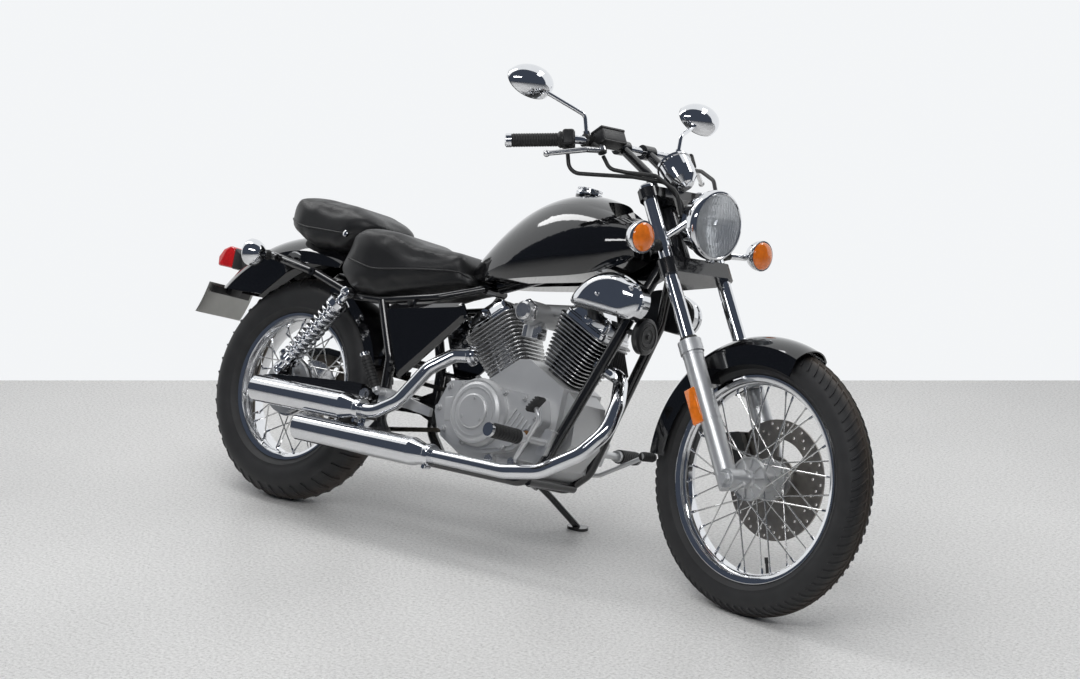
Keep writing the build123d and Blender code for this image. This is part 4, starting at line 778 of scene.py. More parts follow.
# ---- Fuel tank ----
# Pressed steel in deep black lacquer, with a chromed filler cap, notched round its rim, on top.
lacquer = finish("deep_lacquer", (0.0035, 0.0035, 0.0042), 0.07, coat=1.0, rough_spread=0.02)
repainted(("fuel_tank", "rear_fender", "front_fender", "side_covers"), lacquer)
FILLER = (838, 0, 928)
build = bmesh.new()
spun(build, ((0, 34), (2.5, 35), (5, 34), (5, 30.5), (9, 30), (11.5, 31.5), (15, 31), (17, 28),
             (18.2, 20), (18.6, 8), (18.6, 0.01), (-4, 0.01), (-4, 34)), 72)
for notch in range(18):
    turn = Matrix.Rotation(2 * pi * notch / 18, 4, "Y")
    block(build, turn @ Vector((0, 12.5, 30.5)), (5, 5.5, 3.4), turn, 1.2)
cap_place = BIKE @ Matrix.Translation(FILLER) @ Matrix.Rotation(radians(3), 4, "Y") \
    @ Matrix.Rotation(radians(90), 4, "X")
finished("filler_cap", build, cap_place, "chassis", [chrome], sharp=30)

# ---- Seats ----
# Foam pads on a pan under black grained vinyl: the rider's is broad and full at its rear, the
# passenger's stands behind it with a piped edge and a stud each side. A cloth simulation
# swells both a little, and their covers are then evened and filled out.
vinyl = finish("grained_vinyl", (0.016, 0.016, 0.0165), 0.36, shade=0.25, grain=18, bump=0.35,
               bump_scale=1100, rough_spread=0.07)
tree = vinyl.node_tree
crease = wired(vinyl, "TexVoronoi", Scale=520)
crease.feature = "DISTANCE_TO_EDGE"
place = wired(vinyl, "TexCoord")
joined(place, "Object", crease, "Vector")
cell = wired(vinyl, "Bump", Strength=0.28, Distance=0.0006)
soft = next(node for node in tree.nodes if node.type == "BUMP" and node != cell)
joined(crease, "Distance", cell, "Height")
joined(soft, "Normal", cell, "Normal")
joined(cell, "Normal", tree.nodes["Principled BSDF"], "Normal")
SEAT_VOXEL = 0.005
SWELL = 0.006  # most that a point of a pad moves
EVENING = 26  # rounds of smoothing after the simulation
FULLNESS = 0.007  # put back all round, after the smoothing
# pad, node, rounds of smoothing before the simulation, share of its bulk that is filling
PADS = (("rider_pad", "rider_seat", 26, 0.7), ("passenger_pad", "passenger_seat", 14, 0.6))


def selected(piece):
    for other in bpy.context.selected_objects:
        other.select_set(False)
    bpy.context.view_layer.objects.active = piece
    piece.select_set(True)


for name, node, smoothing, fill in PADS:
    mesh = nodes[node].data.copy()
    build = bmesh.new()
    build.from_mesh(mesh)
    bmesh.ops.remove_doubles(build, verts=build.verts, dist=0.00001)
    build.to_mesh(mesh)
    build.free()
    mesh.materials.clear()
    mesh.materials.append(vinyl)
    pad = placed(name, mesh)
    remesh = pad.modifiers.new("remesh", "REMESH")
    remesh.mode = "VOXEL"
    remesh.voxel_size = SEAT_VOXEL
    rounding = pad.modifiers.new("rounding", "SMOOTH")
    rounding.factor = 0.5
    rounding.iterations = smoothing
    selected(pad)
    for modifier in ("remesh", "rounding"):
        bpy.ops.object.modifier_apply(modifier=modifier)
    rest = [vert.co.copy() for vert in pad.data.vertices]
    cloth = pad.modifiers.new("cloth", "CLOTH")
    cloth.settings.use_pressure = True
    cloth.settings.uniform_pressure_force = 4
    cloth.settings.effector_weights.gravity = 0
    cloth.settings.quality = 4
    for number in range(1, 21):
        bpy.context.scene.frame_set(number)
    selected(pad)
    bpy.ops.object.modifier_apply(modifier="cloth")
    bpy.context.scene.frame_set(1)
    for vert, start in zip(pad.data.vertices, rest):
        move = vert.co - start
        if move.length > SWELL:
            vert.co = start + move.normalized() * SWELL
    even = pad.modifiers.new("even", "SMOOTH")
    even.factor = 0.5
    even.iterations = EVENING
    fuller = pad.modifiers.new("fuller", "DISPLACE")
    fuller.strength = FULLNESS
    fuller.mid_level = 0
    finer = pad.modifiers.new("finer", "SUBSURF")
    finer.levels = finer.render_levels = 1
    selected(pad)
    for modifier in ("even", "fuller", "finer"):
        bpy.ops.object.modifier_apply(modifier=modifier)
    pad.data.shade_smooth()
    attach(pad, "chassis")
    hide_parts(node)

# Piping and studs, laid on the finished pads
PIPE_R = 2.6
# pad, points (x, y, z) near its cover
PIPINGS = (
    ("passenger_pad", ((-92, -100, 762), (0, -108, 742), (120, -108, 738), (222, -100, 744),
                       (250, 0, 752), (222, 100, 744), (120, 108, 738), (0, 108, 742),
                       (-92, 100, 762))),
    ("rider_pad", ((200, -150, 672), (300, -148, 650), (420, -122, 668), (520, -92, 680),
                   (600, -60, 686))),
    ("rider_pad", ((200, 150, 672), (300, 148, 650), (420, 122, 668), (520, 92, 680),
                   (600, 60, 686))),
)


def laid_on(pad, points, lift):
    """Points moved onto a pad's cover, in metres, a little above it, with more between them."""
    tree = BVHTree.FromObject(bpy.data.objects[pad], bpy.context.evaluated_depsgraph_get())
    laid = []
    for start, end in zip(points, points[1:]):
        for step in range(8):
            spot = BIKE @ Vector(start).lerp(Vector(end), step / 8)
            touch, normal, _, _ = tree.find_nearest(spot)
            laid.append(touch + normal * lift)
    touch, normal, _, _ = tree.find_nearest(BIKE @ Vector(points[-1]))
    laid.append(touch + normal * lift)
    return laid


bpy.context.view_layer.update()
build = bmesh.new()
for pad, points in PIPINGS:
    laid = laid_on(pad, points, 0.0004)
    for _ in range(3):
        laid = laid[:1] + [(a + 2 * b + c) / 4 for a, b, c in zip(laid, laid[1:], laid[2:])] \
            + laid[-1:]
    for start, end in zip(laid, laid[1:]):
        rod(build, start, end, PIPE_R / 1000, sides=10)
        bmesh.ops.create_icosphere(build, subdivisions=1, radius=PIPE_R / 1000,
                                   matrix=Matrix.Translation(end))
finished("seat_piping", build, Matrix(), "chassis", [vinyl], sharp=60)
build = bmesh.new()
for side in SIDES:
    touch = laid_on("passenger_pad", ((150, side * 120, 735), (151, side * 120, 735)), 0)[0]
    middle = BIKE @ Vector((150, 0, 735))
    out = (touch - middle).normalized()
    rod(build, touch - out * 0.003, touch + out * 0.003, 0.009, 0.0085, 24)
    rod(build, touch + out * 0.003, touch + out * 0.005, 0.0085, 0.005, 24)
finished("seat_studs", build, Matrix(), "chassis", [chrome])

# ---- Mudguards and side covers ----
# Fasteners of the lacquered panels: domed nuts on the front guard's bracket, and three black
# screws in each side cover.
satin_black = finish("satin_black", (0.016, 0.016, 0.017), 0.42, bump=0.15, bump_scale=900)
build = bmesh.new()
for side in SIDES:
    domed_nut(build, (52, side * 85, 586), (0, side, 0), 5.5)
    domed_nut(build, (22, side * 85, 574), (0, side, 0), 5.5)
finished("front_guard_bolts", build, FORK, "fork", [chrome])
build = bmesh.new()
for x, z in ((440, 578), (600, 580), (420, 400)):
    for side in SIDES:
        rod(build, (x, side * 129, z), (x, side * 137, z), 8, 6.5, 24)
finished("side_cover_screws", build, BIKE, "chassis", [satin_black])

# ---- Lamps ----
# Chromed bowls with moulded lenses: a clear fluted glass over the headlight's reflector, ringed
# amber domes in the four indicators on rubber feet, and a red lens on a black wedge behind.
LEVEL = Matrix.Rotation(RAKE, 4, "Y")  # level and straight ahead, seen from the fork


def lens_material(name, colour, painted_glow):
    """Moulded clear plastic with a painted glow: it emits a little of its own colour, though no lamp is lit in it.
    """
    material = finish(name, colour, 0.10, coat=1.0, shade=0.35, grain=70, rough_spread=0.03)
    shader = material.node_tree.nodes["Principled BSDF"]
    shader.inputs["Emission Color"].default_value = (*colour, 1)
    shader.inputs["Emission Strength"].default_value = painted_glow
    shader.inputs["Transmission Weight"].default_value = 0.25
    return material


# Both lenses emit a painted glow of their own colour; the indicators, the tail lamp and the fork reflectors are
# not lit.
amber = lens_material("amber_lens", (0.86, 0.22, 0.012), 0.16)
red = lens_material("red_lens", (0.62, 0.012, 0.014), 0.18)
lamp_glass = finish("lamp_glass", (0.92, 0.95, 0.97), 0.04, coat=0.4, shade=0.04)
shader = lamp_glass.node_tree.nodes["Principled BSDF"]
shader.inputs["Transmission Weight"].default_value = 0.72
shader.inputs["IOR"].default_value = 1.3
LAMP = (139, 0, 943)
GLASS_R = 75.5
FLUTE = 9.5  # width of one
BAND = (52, 22)  # half sizes of the crossed band
lamp_place = FORK @ Matrix.Translation(LAMP) @ LEVEL @ AHEAD
repainted(["headlight"], chrome)
build = bmesh.new()
spun(build, ((-5.8, 0.01), (-5.6, 12), (-4.2, 30), (-1.5, 50), (1.5, 66), (2.4, 75), (-5.9, 75.8)),
     96)
rod(build, (0, -5, 0), (0, 4, 0), 14, 12, 40)
finished("headlight_reflector", build, lamp_place, "fork", [chrome], sharp=50)
build = bmesh.new()
stations = [(13.4 - 9.6 * (r / GLASS_R) ** 2, r)
            for r in [GLASS_R * i / 26 for i in range(26, 0, -1)]]
spun(build, [(2.2, 75.8)] + stations + [(13.4, 0.01)], 180, closed=False)
for vert in build.verts:  # flutes down the glass, crossed in a band over its middle
    if hypot(vert.co.x, vert.co.z) < 70:
        vert.co.y += 0.9 * abs(sin(pi * vert.co.x / FLUTE)) - 0.45
        if abs(vert.co.x) < BAND[0] and abs(vert.co.z) < BAND[1]:
            vert.co.y += 0.35 * abs(sin(pi * vert.co.z / 11))
finished("headlight_glass", build, lamp_place, "fork", [lamp_glass],
         ["headlight_lens"], sharp=60)
build = bmesh.new()
spun(build, ((-24, 79), (-22, 82), (-10, 84.5), (0, 84.2), (4.5, 81.5), (5.2, 78), (3, 75.6),
             (-8, 76)), 128)
block(build, (0, -8, -85), (12, 18, 9), bevel=2)
rod(build, (0, -18, -88), (0, 4, -88), 2.6, sides=12)
finished("headlight_rim", build, lamp_place, "fork", [chrome], sharp=32)

BOWL = ((-26, 0.01), (-25.5, 9), (-22.5, 17), (-16, 25), (-7, 32), (3, 36.5), (10, 38), (16, 38.4),
        (18.5, 37.4), (18.5, 33.5), (9, 33), (9, 0.01))  # along and out
DOME = [(18 + 11.5 * cos(pi / 2 * i / 13) + (0.55 if i % 2 else -0.25),
         34 * sin(pi / 2 * i / 13)) for i in range(13, 0, -1)]
# name, place, lamp's centre, its turn, foot of its stalk, body
INDICATORS = (
    ("front_left", FORK, (70, 211, 922), LEVEL @ AHEAD, (37, 92, 926), "fork"),
    ("front_right", FORK, (70, -211, 922), LEVEL @ AHEAD, (37, -92, 926), "fork"),
    ("rear_left", BIKE, (-112, 172, 645), AHEAD.inverted(), (-112, 102, 651), "chassis"),
    ("rear_right", BIKE, (-112, -172, 645), AHEAD.inverted(), (-112, -102, 651), "chassis"),
)
for name, place, heart, facing, foot, body in INDICATORS:
    node = f"{name.split('_')[0]}_indicators"
    lamp_at = place @ Matrix.Translation(heart) @ facing
    build = bmesh.new()
    spun(build, BOWL, 72)
    finished(f"indicator_bowl_{name}", build, lamp_at, body, [chrome], [node], sharp=34)
    build = bmesh.new()
    spun(build, [(9.5, 33), (15, 34.6)] + DOME + [(29.5, 0.01), (9.5, 0.01)], 72)
    finished(f"indicator_lens_{name}", build, lamp_at, body, [amber], sharp=60)
    out = (Vector(foot) - Vector(heart)).normalized()
    start = Vector(heart) + out * 24
    end = Vector(foot)
    start.x += -12 if body == "fork" else 0
    build = bmesh.new()
    rod(build, start, end, 8.6, sides=28)
    finished(f"indicator_stalk_{name}", build, place, body, [chrome])
    build = bmesh.new()
    run = (end - start).normalized()
    for grow, low, high in ((14.5, 0, 9), (12.5, 9, 15), (11, 15, 22)):
        rod(build, end - run * (24 + low), end - run * (24 + high), grow, grow * 0.9, 28)
    finished(f"indicator_foot_{name}", build, place, body, [dark_rubber])


def slab(build, outline, low, high, bevel, segments):
    """Plate with rounded edges, of an (x, z) outline, between two places across the machine."""
    verts = [build.verts.new((x, low, z)) for x, z in outline]
    face = build.faces.new(verts)
    made = bmesh.ops.extrude_face_region(build, geom=[face])["geom"]
    moved = [item for item in made if isinstance(item, bmesh.types.BMVert)]
    bmesh.ops.translate(build, verts=moved, vec=(0, high - low, 0))
    rounded(build, {edge for vert in verts + moved for edge in vert.link_edges}, bevel, segments)


build = bmesh.new()
slab(build, ((-334, 604), (-334, 662), (-354, 668), (-380, 656), (-396, 632), (-392, 606)), -42, 42,
     6, 4)
finished("tail_lens", build, BIKE, "chassis", [red], ["tail_light"])
build = bmesh.new()
slab(build, ((-284, 606), (-306, 648), (-337, 664), (-337, 602)), -40, 40, 5, 3)
finished("tail_base", build, BIKE, "chassis", [satin_black])

# ---- Number plate ----
# Blank sheet metal, bent back along its lower half, on a strap and two bolts under the tail.
PLATE_TILT = radians(17)
PLATE_SIZE = (96, 180)  # high and wide
PLATE_BOLT = 60  # each side of the middle
plate_place = BIKE @ Matrix.Translation((-354, 0, 552)) @ Matrix.Rotation(PLATE_TILT, 4, "Y")
sheet_metal = finish("plate_sheet", (0.52, 0.52, 0.50), 0.38, metal=0.85, shade=0.25, grain=9,
                     bump=0.3, bump_scale=40)
build = bmesh.new()
bmesh.ops.create_grid(build, x_segments=30, y_segments=14, size=0.5)
bmesh.ops.transform(build, verts=build.verts, matrix=Matrix.Translation((0, 0, -PLATE_SIZE[0] / 2))
                    @ Matrix.Rotation(radians(90), 4, "Y")
                    @ Matrix.Diagonal((*PLATE_SIZE, 1, 1)))
for vert in build.verts:
    down = -vert.co.z
    vert.co.x -= 2 + 0.0016 * max(0, down - 30) ** 2 \
        + 2.2 * sin(vert.co.y / 38) * down / PLATE_SIZE[0]
bmesh.ops.solidify(build, geom=build.faces, thickness=1.4)
for y in (-PLATE_BOLT, PLATE_BOLT):
    rod(build, (-2, y, -16), (-7, y, -16), 6.5, 5.5, 16)
    rod(build, (4, y, -16), (1, y, -16), 7, 7, 6)
finished("blank_plate", build, plate_place, "chassis", [sheet_metal],
         ["number_plate"])
build = bmesh.new()
block(build, (3, 0, -16), (5, 150, 22), bevel=1.5)
block(build, (9, 0, -2), (26, 40, 40), bevel=3)
finished("plate_bracket", build, plate_place, "chassis", [satin_black])

# ---- Fork ----
# Chromed tubes in silver-painted sliders, with a dust collar at each top, a pinch bolt and nut
# on the axle, and an amber reflector outside each leg.
TRAIL = 120.3  # on the ground, from the tyre's contact ahead to the steering axis
AXLE = (-TRAIL * cos(RAKE) + FRONT_RADIUS * sin(RAKE),
        TRAIL * sin(RAKE) + FRONT_RADIUS * cos(RAKE))  # front axle ahead and up, on the fork
FORK_LEAD = 37  # legs ahead of the steering axis
FORK_HALF = 92
SLIDER_TOP = 678
UPPER_CLAMP = 1078
slider_paint = finish("slider_paint", (0.60, 0.61, 0.62), 0.30, metal=0.55, coat=0.4, bump=0.05,
                      shade=0.06)
repainted(["fork_sliders"], slider_paint)
build = bmesh.new()
collar = bmesh.new()
amber_block = bmesh.new()
for side in SIDES:
    leg = Vector((FORK_LEAD, side * FORK_HALF, 0))
    top = leg + Vector((0, 0, SLIDER_TOP))
    cap = leg + Vector((0, 0, UPPER_CLAMP))
    rod(collar, top, top + Vector((0, 0, 9)), 23, 20.5, 40)
    for z in (640, 480):
        rod(build, leg + Vector((0, 0, z)), leg + Vector((0, 0, z + 6)), 25.4, 25.4, 48)
    rod(build, (AXLE[0], side * 116, AXLE[1]), (AXLE[0], side * 121, AXLE[1]), 17, 16, 32)
    rod(build, (AXLE[0], side * 121, AXLE[1]), (AXLE[0], side * 132, AXLE[1]), 14, 13, 6)
    rod(build, (AXLE[0] - 20, side * 86, AXLE[1] - 20), (AXLE[0] + 22, side * 86, AXLE[1] - 20),
        5, 5, 12)
    block(build, (30, side * 79, 584), (30, 6, 60), bevel=2)
    block(amber_block, (20, side * (FORK_HALF + 25.5), 520), (31, 7, 86), bevel=2.4, segments=3)
    rod(build, cap + Vector((0, 0, 8)), cap + Vector((0, 0, 13)), 17, 15.5, 32)
    rod(build, cap + Vector((0, 0, 12)), cap + Vector((0, 0, 17)), 9, 8, 6)
finished("fork_fittings", build, FORK, "fork", [slider_paint], sharp=30)
finished("fork_dust_collars", collar, FORK, "fork", [dark_rubber])
# The reflectors take the amber lens material, with its painted glow.
finished("fork_reflectors", amber_block, FORK, "fork", [amber])

# ---- Handlebar fittings ----
# Ribbed rubber grips with chromed ends, alloy levers with ball ends, a switch box each side and
# the brake's square reservoir with four screws in its lid.
BAR_BEND = Vector((-45, 192, 1246))
GRIP_OUT = Vector((-156, 315, 1283))
GRIP_LONG = 128
grip_run = (GRIP_OUT - BAR_BEND).normalized()
LEVER_PIVOT = Vector((-20, 150, 1210))
LEVER_END = Vector((-84, 276, 1214))
grips = bmesh.new()
ends = bmesh.new()
levers = bmesh.new()
boxes = bmesh.new()
for side in SIDES:
    mirrored = Matrix.Diagonal((1, side, 1))
    along = mirrored @ grip_run
    outer = mirrored @ GRIP_OUT
    ribs = [(-GRIP_LONG, 12.5), (-GRIP_LONG, 20), (-GRIP_LONG + 5, 21), (-GRIP_LONG + 9, 17.4)]
    for rib in range(17):
        at = -GRIP_LONG + 12 + rib * 6.4
        ribs += [(at, 15.4), (at + 0.8, 16.7), (at + 4.6, 16.7), (at + 5.4, 15.4)]
    ribs += [(-4, 16.6), (-4, 12.5)]
    turn = along.to_track_quat("Y", "Z").to_matrix().to_4x4()
    ring_at(grips, ribs, 40, Matrix.Translation(outer) @ turn)
    rod(ends, outer - along * 5, outer + along * 8, 17.4, 17.4, 40)
    rod(ends, outer + along * 8, outer + along * 11, 17.4, 13, 40)
    pivot = mirrored @ LEVER_PIVOT
    tip = mirrored @ LEVER_END
    elbow = pivot + Vector((-8, side * 48, -2))
    rod(levers, pivot - Vector((0, 0, 5)), pivot + Vector((0, 0, 5)), 12, 12, 24)
    rod(levers, pivot, elbow, 8.4, 7.4, 20)
    bmesh.ops.create_icosphere(levers, subdivisions=3, radius=7.4,
                               matrix=Matrix.Translation(elbow))
    rod(levers, elbow, tip, 7.4, 5.9, 20)
    bmesh.ops.create_icosphere(levers, subdivisions=3, radius=8.6, matrix=Matrix.Translation(tip))
    rod(levers, pivot + Vector((0, 0, 5)), pivot + Vector((0, 0, 13)), 6, 6, 6)
    inner = outer - along * (GRIP_LONG + 30)
    turn = along.to_track_quat("X", "Z").to_matrix().to_4x4()
    block(boxes, inner + along * 14, (30, 44, 42), turn, 7, 4)
    for z in (-1, 1):
        rod(boxes, inner + along * 14 + Vector((-22, 0, 7 * z)),
            inner + along * 14 + Vector((-26, 0, 7 * z)), 5, 4.4, 12)
block(boxes, (-14, -118, 1243), (39, 78, 34), bevel=4, segments=3)
block(boxes, (-14, -118, 1261), (42, 81, 7), bevel=2.2, segments=3)
for x in (-29, 1):
    for y in (-150, -86):
        rod(levers, (x, y, 1264), (x, y, 1266.5), 3.4, 3, 12)
finished("ribbed_grips", grips, FORK, "fork", [dark_rubber], ["grips"], sharp=30)
finished("grip_ends", ends, FORK, "fork", [chrome])
finished("control_levers", levers, FORK, "fork", [polished])
finished("switch_boxes", boxes, FORK, "fork", [satin_black])

# ---- Mirrors ----
# Chromed oval shells with a silvered glass in a black rim, on the chromed bent stems.
MIRROR = (-57, 301, 1392)
MIRROR_HALF = (68.6, 44.6)  # across and high
glass = finish("mirror_glass", (0.86, 0.88, 0.9), 0.02, metal=1.0, shade=0.02, rough_spread=0.005)
shells = bmesh.new()
faces = bmesh.new()
rims = bmesh.new()
for side in SIDES:
    half = bmesh.new()
    bmesh.ops.create_uvsphere(half, u_segments=64, v_segments=40, radius=1,
                              matrix=Matrix.Diagonal((MIRROR_HALF[1], *MIRROR_HALF, 1)))
    cut = bmesh.ops.bisect_plane(half, geom=half.verts[:] + half.edges[:] + half.faces[:],
                                 plane_co=(0, 0, 0), plane_no=(-1, 0, 0), clear_outer=True)
    rim_edges = [item for item in cut["geom_cut"] if isinstance(item, bmesh.types.BMEdge)]
    bmesh.ops.holes_fill(half, edges=rim_edges)
    place = Matrix.Translation((MIRROR[0], side * MIRROR[1], MIRROR[2]))
    bmesh.ops.transform(half, verts=half.verts, matrix=place)
    merged(shells, half)
    for target, size, low, high in ((rims, 1.0, -1.6, 0.4), (faces, 0.94, -2.2, -1.4)):
        disc = rod(target, (low, 0, 0), (high, 0, 0), 1, sides=72)
        stretch = Matrix.Diagonal((1, MIRROR_HALF[0] * size, MIRROR_HALF[1] * size, 1))
        bmesh.ops.transform(target, verts=disc, matrix=place @ stretch)
finished("mirror_shells", shells, FORK, "fork", [chrome], sharp=50)
finished("mirror_rims", rims, FORK, "fork", [satin_black])
finished("mirror_glasses", faces, FORK, "fork", [glass])

# ---- Speedometer ----
# Chromed cup over the upper clamp, with a black dial in it, whose white marks and figures go
# to 160, and a red needle at rest on 0.
DIAL_TILT = radians(15)
DIAL_TOP = 160
DIAL_FIRST = 225  # degrees of the 0, and of the whole scale
DIAL_SWEEP = 270
dial_place = FORK @ Matrix.Translation((62, 0, 1152)) @ Matrix.Rotation(-DIAL_TILT, 4, "Y")
dial_black = finish("dial_black", (0.012, 0.012, 0.013), 0.5, shade=0.2)
dial_white = finish("dial_white", (0.82, 0.82, 0.80), 0.5, shade=0.06)
needle_red = finish("needle_red", (0.70, 0.05, 0.02), 0.45, shade=0.1)
build = bmesh.new()
rod(build, (0, 0, 2.6), (0, 0, 3.6), 40.5, sides=72)
finished("dial_face", build, dial_place, "fork", [dial_black])
build = bmesh.new()
for mark in range(33):
    turn = Matrix.Rotation(radians(DIAL_FIRST - DIAL_SWEEP * mark / 32), 4, "Z")
    long = 6 if mark % 4 == 0 else 3.2
    block(build, turn @ Vector((35.5 - long / 2, 0, 3.8)), (long, 0.9 if mark % 4 else 1.5, 0.5),
          turn)
finished("dial_marks", build, dial_place, "fork", [dial_white])
for number in range(0, DIAL_TOP + 1, 20):
    angle = radians(DIAL_FIRST - DIAL_SWEEP * number / DIAL_TOP)
    text = bpy.data.curves.new("figure", "FONT")
    text.body = str(number)
    text.size = 6.6
    text.extrude = 0.2
    text.align_x = "CENTER"
    text.align_y = "CENTER"
    written = placed("figure", text)
    shape = bpy.data.meshes.new_from_object(written)
    bpy.data.objects.remove(written)
    build = bmesh.new()
    build.from_mesh(shape)
    spot = AHEAD.to_3x3() @ Vector((25.5 * cos(angle), 25.5 * sin(angle), 3.9))
    bmesh.ops.transform(build, verts=build.verts, matrix=Matrix.Translation(spot) @ AHEAD)
    finished(f"dial_figure_{number}", build, dial_place, "fork", [dial_white])
build = bmesh.new()
rod(build, (0, 0, 3.6), (0, 0, 6.6), 4.6, 4, 24)
zero = radians(DIAL_FIRST)
rod(build, (0, 0, 5.2), AHEAD.to_3x3() @ Vector((31 * cos(zero), 31 * sin(zero), 5.2)), 1.1,
    0.5, 8)
finished("dial_needle", build, dial_place, "fork", [needle_red])

# ---- Horn, regulator and frame fittings ----
# A round horn with pressed rings, a finned regulator between the downtubes, the nuts of the
# swingarm's pivot and the rear axle, and the chain's adjusters.
HORN = (1106, -52, 592)
horn_enamel = finish("horn_enamel", (0.018, 0.018, 0.018), 0.35, coat=0.3)
build = bmesh.new()
spun(build, ((27, 0.01), (27.6, 9), (26.6, 11), (26.6, 17), (28.6, 19), (28.6, 25), (26.4, 27),
             (26.4, 33), (28.2, 35), (27.6, 41), (25, 44.2), (18, 44.6), (14, 42)), 64,
     closed=False)
rod(build, (0, 26, 0), (0, 31, 0), 6.5, 5.5, 6)
finished("horn_rings", build, BIKE @ Matrix.Translation(HORN) @ AHEAD, "chassis", [horn_enamel],
         sharp=40)
build = bmesh.new()
down_tubes = Matrix.Rotation(radians(-24), 4, "Y")
block(build, (1012, 0, 521), (16, 74, 66), down_tubes, 3)
for fin in range(9):
    block(build, (1023, -32 + fin * 8, 518), (18, 2.4, 62), down_tubes, 0.8)
finished("regulator_fins", build, BIKE, "chassis", [satin_black])
build = bmesh.new()
# x and z, nut's stages: from and to along Y, radius, tip, sides
NUTS = (((352, 325), ((131, 136, 15, 15, 32), (136, 145, 12, 11.4, 6))),
        ((0, REAR_RADIUS), ((131, 134, 17, 17, 32), (134, 146, 14, 13, 6),
                            (146, 153, 8, 7.4, 16))))
for side in SIDES:
    for (x, z), stages in NUTS:
        for low, high, radius, tip, sides in stages:
            rod(build, (x, side * low, z), (x, side * high, z), radius, tip, sides)
    for low, high, radius, sides in ((-52, -66, 5, 12), (-40, -48, 9, 6)):
        rod(build, (low, side * 118, REAR_RADIUS), (high, side * 118, REAR_RADIUS), radius,
            radius, sides)
finished("frame_nuts", build, BIKE, "chassis", [polished])

# ---- Pegs, pedal and lever ----
# Ribbed rubber sleeves with chromed tips on the rider's and the passenger's pegs, a grooved
# rubber pad on the brake pedal and a ribbed rubber sleeve on the shift lever's tip.
PEGS = (((936, 205, 296), (924, 322, 300), 15), ((406, 150, 338), (352, 168, 428), 11))
SHIFT_TIP = (Vector((1004, 220, 309)), Vector((1012, 262, 312)))
PEDAL = Vector((958, -204, 380))
sleeves = bmesh.new()
tips = bmesh.new()
for inner, outer, thick in PEGS:  # ends and radius of each left peg
    for side in SIDES:
        start = Vector((inner[0], side * inner[1], inner[2]))
        run = Vector((outer[0], side * outer[1], outer[2])) - start
        ribs = [(0.10 * run.length, thick + 0.4)]
        for rib in range(9):
            at = run.length * (0.12 + 0.085 * rib)
            ribs += [(at, thick + 3.2), (at + run.length * 0.05, thick + 3.2),
                     (at + run.length * 0.055, thick + 1.6), (at + run.length * 0.08, thick + 1.6)]
        ribs += [(0.92 * run.length, thick + 0.4)]
        turn = run.to_track_quat("Y", "Z").to_matrix().to_4x4()
        ring_at(sleeves, ribs, 28, Matrix.Translation(start) @ turn, closed=False)
        rod(tips, start + run * 0.94, start + run * 1.01, thick + 2.2, thick + 1.4, 28)
finished("peg_rubbers", sleeves, BIKE, "chassis", [dark_rubber])
finished("peg_tips", tips, BIKE, "chassis", [chrome])
build = bmesh.new()
rod(build, SHIFT_TIP[0], SHIFT_TIP[1] + Vector((0, 2, 0)), 11, 10.4, 28)
for rib in range(5):
    at = SHIFT_TIP[0].lerp(SHIFT_TIP[1], 0.15 + 0.17 * rib)
    rod(build, at, at + Vector((0.6, 3.6, 0.2)), 12.4, 12.4, 28)
pedal = Matrix.Rotation(radians(-52), 4, "Y")
block(build, PEDAL, (46, 34, 10), pedal, 3)
for rib in range(5):
    block(build, PEDAL + pedal @ Vector((-16 + rib * 8, 0, 6.4)), (4, 32, 3), pedal, 0.8)
finished("pedal_rubbers", build, BIKE, "chassis", [dark_rubber])

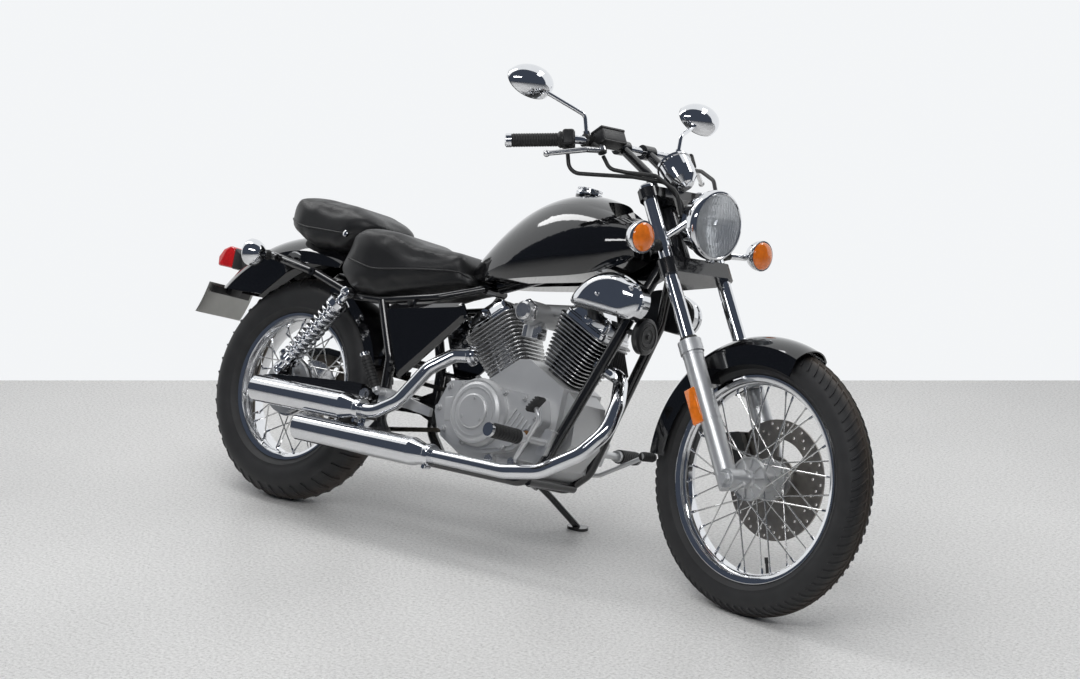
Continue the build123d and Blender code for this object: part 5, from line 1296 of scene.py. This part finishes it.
# ---- Drive chain ----
# Roller chain of narrow and wide pairs of side plates, with a pin at each link, round the
# drive and wheel sprockets.
CHAIN_PITCH = 15.875
CHAIN_Y = 80
LINK_SIZE = (CHAIN_PITCH + 9, 1.6, 11)
LINK_OUT = (5.0, 6.6)  # from the chain's middle, narrow and wide pairs
WHEEL_SPROCKET = (Vector((0, 0, REAR_RADIUS)), 100.8)  # centre and radius of the chain's run
DRIVE_SPROCKET = (Vector((600, 0, 330)), 37)
chain_steel = finish("oiled_chain", (0.20, 0.18, 0.15), 0.40, metal=1.0, shade=0.4, grain=60)
gap = DRIVE_SPROCKET[0] - WHEEL_SPROCKET[0]
lean = atan2(gap.z, gap.x)
tangent = pi / 2 - asin((WHEEL_SPROCKET[1] - DRIVE_SPROCKET[1]) / gap.length)
route = []
for heart, radius, start, sweep in (
        (*WHEEL_SPROCKET, lean + tangent, 2 * (pi - tangent)),
        (*DRIVE_SPROCKET, lean - tangent, 2 * tangent)):
    for step in range(61):
        angle = start + sweep * step / 60
        route.append(heart + radius * Vector((cos(angle), 0, sin(angle))))
route.append(route[0])
links = []
left = 0
for here, ahead in zip(route, route[1:]):
    span = (ahead - here).length
    while left <= span and span > 0:
        links.append(here.lerp(ahead, left / span))
        left += CHAIN_PITCH
    left -= span
build = bmesh.new()
for number, (here, ahead) in enumerate(zip(links, links[1:] + links[:1])):
    run = ahead - here
    turn = Matrix.Rotation(-atan2(run.z, run.x), 4, "Y")
    out = LINK_OUT[number % 2]
    for side in SIDES:
        middle = (here + ahead) / 2 + Vector((0, CHAIN_Y + side * out, 0))
        block(build, middle, LINK_SIZE, turn)
    rod(build, here + Vector((0, CHAIN_Y - 8, 0)), here + Vector((0, CHAIN_Y + 8, 0)), 3.4,
        sides=8)
finished("chain_links", build, BIKE, "chassis", [chain_steel])

# ---- Pieces that are whole as they are ----
# The frame, the swingarm, the chromed bars and tubes, the castings and the small black housings
# have their own paint, plate or bare metal, and nothing is laid over their shapes.
FINISHES = {
    "frame_black": finish("frame_enamel", (0.010, 0.010, 0.011), 0.20, coat=0.7, bump=0.04),
    "cast_alloy": satin,
    "chrome": chrome,
    "chain_steel": finish("chain_steel", (0.22, 0.19, 0.16), 0.42, metal=1.0),
    "horn_black": finish("horn_enamel", (0.03, 0.03, 0.03), 0.35),
    "switch_plastic": finish("switch_plastic", (0.02, 0.02, 0.02), 0.4),
    "caliper_black": finish("caliper_enamel", (0.03, 0.03, 0.03), 0.4),
}
FINISHED_ABOVE = (lacquer, casting, slider_paint, disc_steel, chrome)  # in earlier sections
for subpart in frame["record"]["subparts"]:
    slot = subpart["material_slot"]
    held = nodes[subpart["node"]].data.materials
    if slot in FINISHES and not any(own in FINISHED_ABOVE for own in held):
        repainted([subpart["node"]], FINISHES[slot])
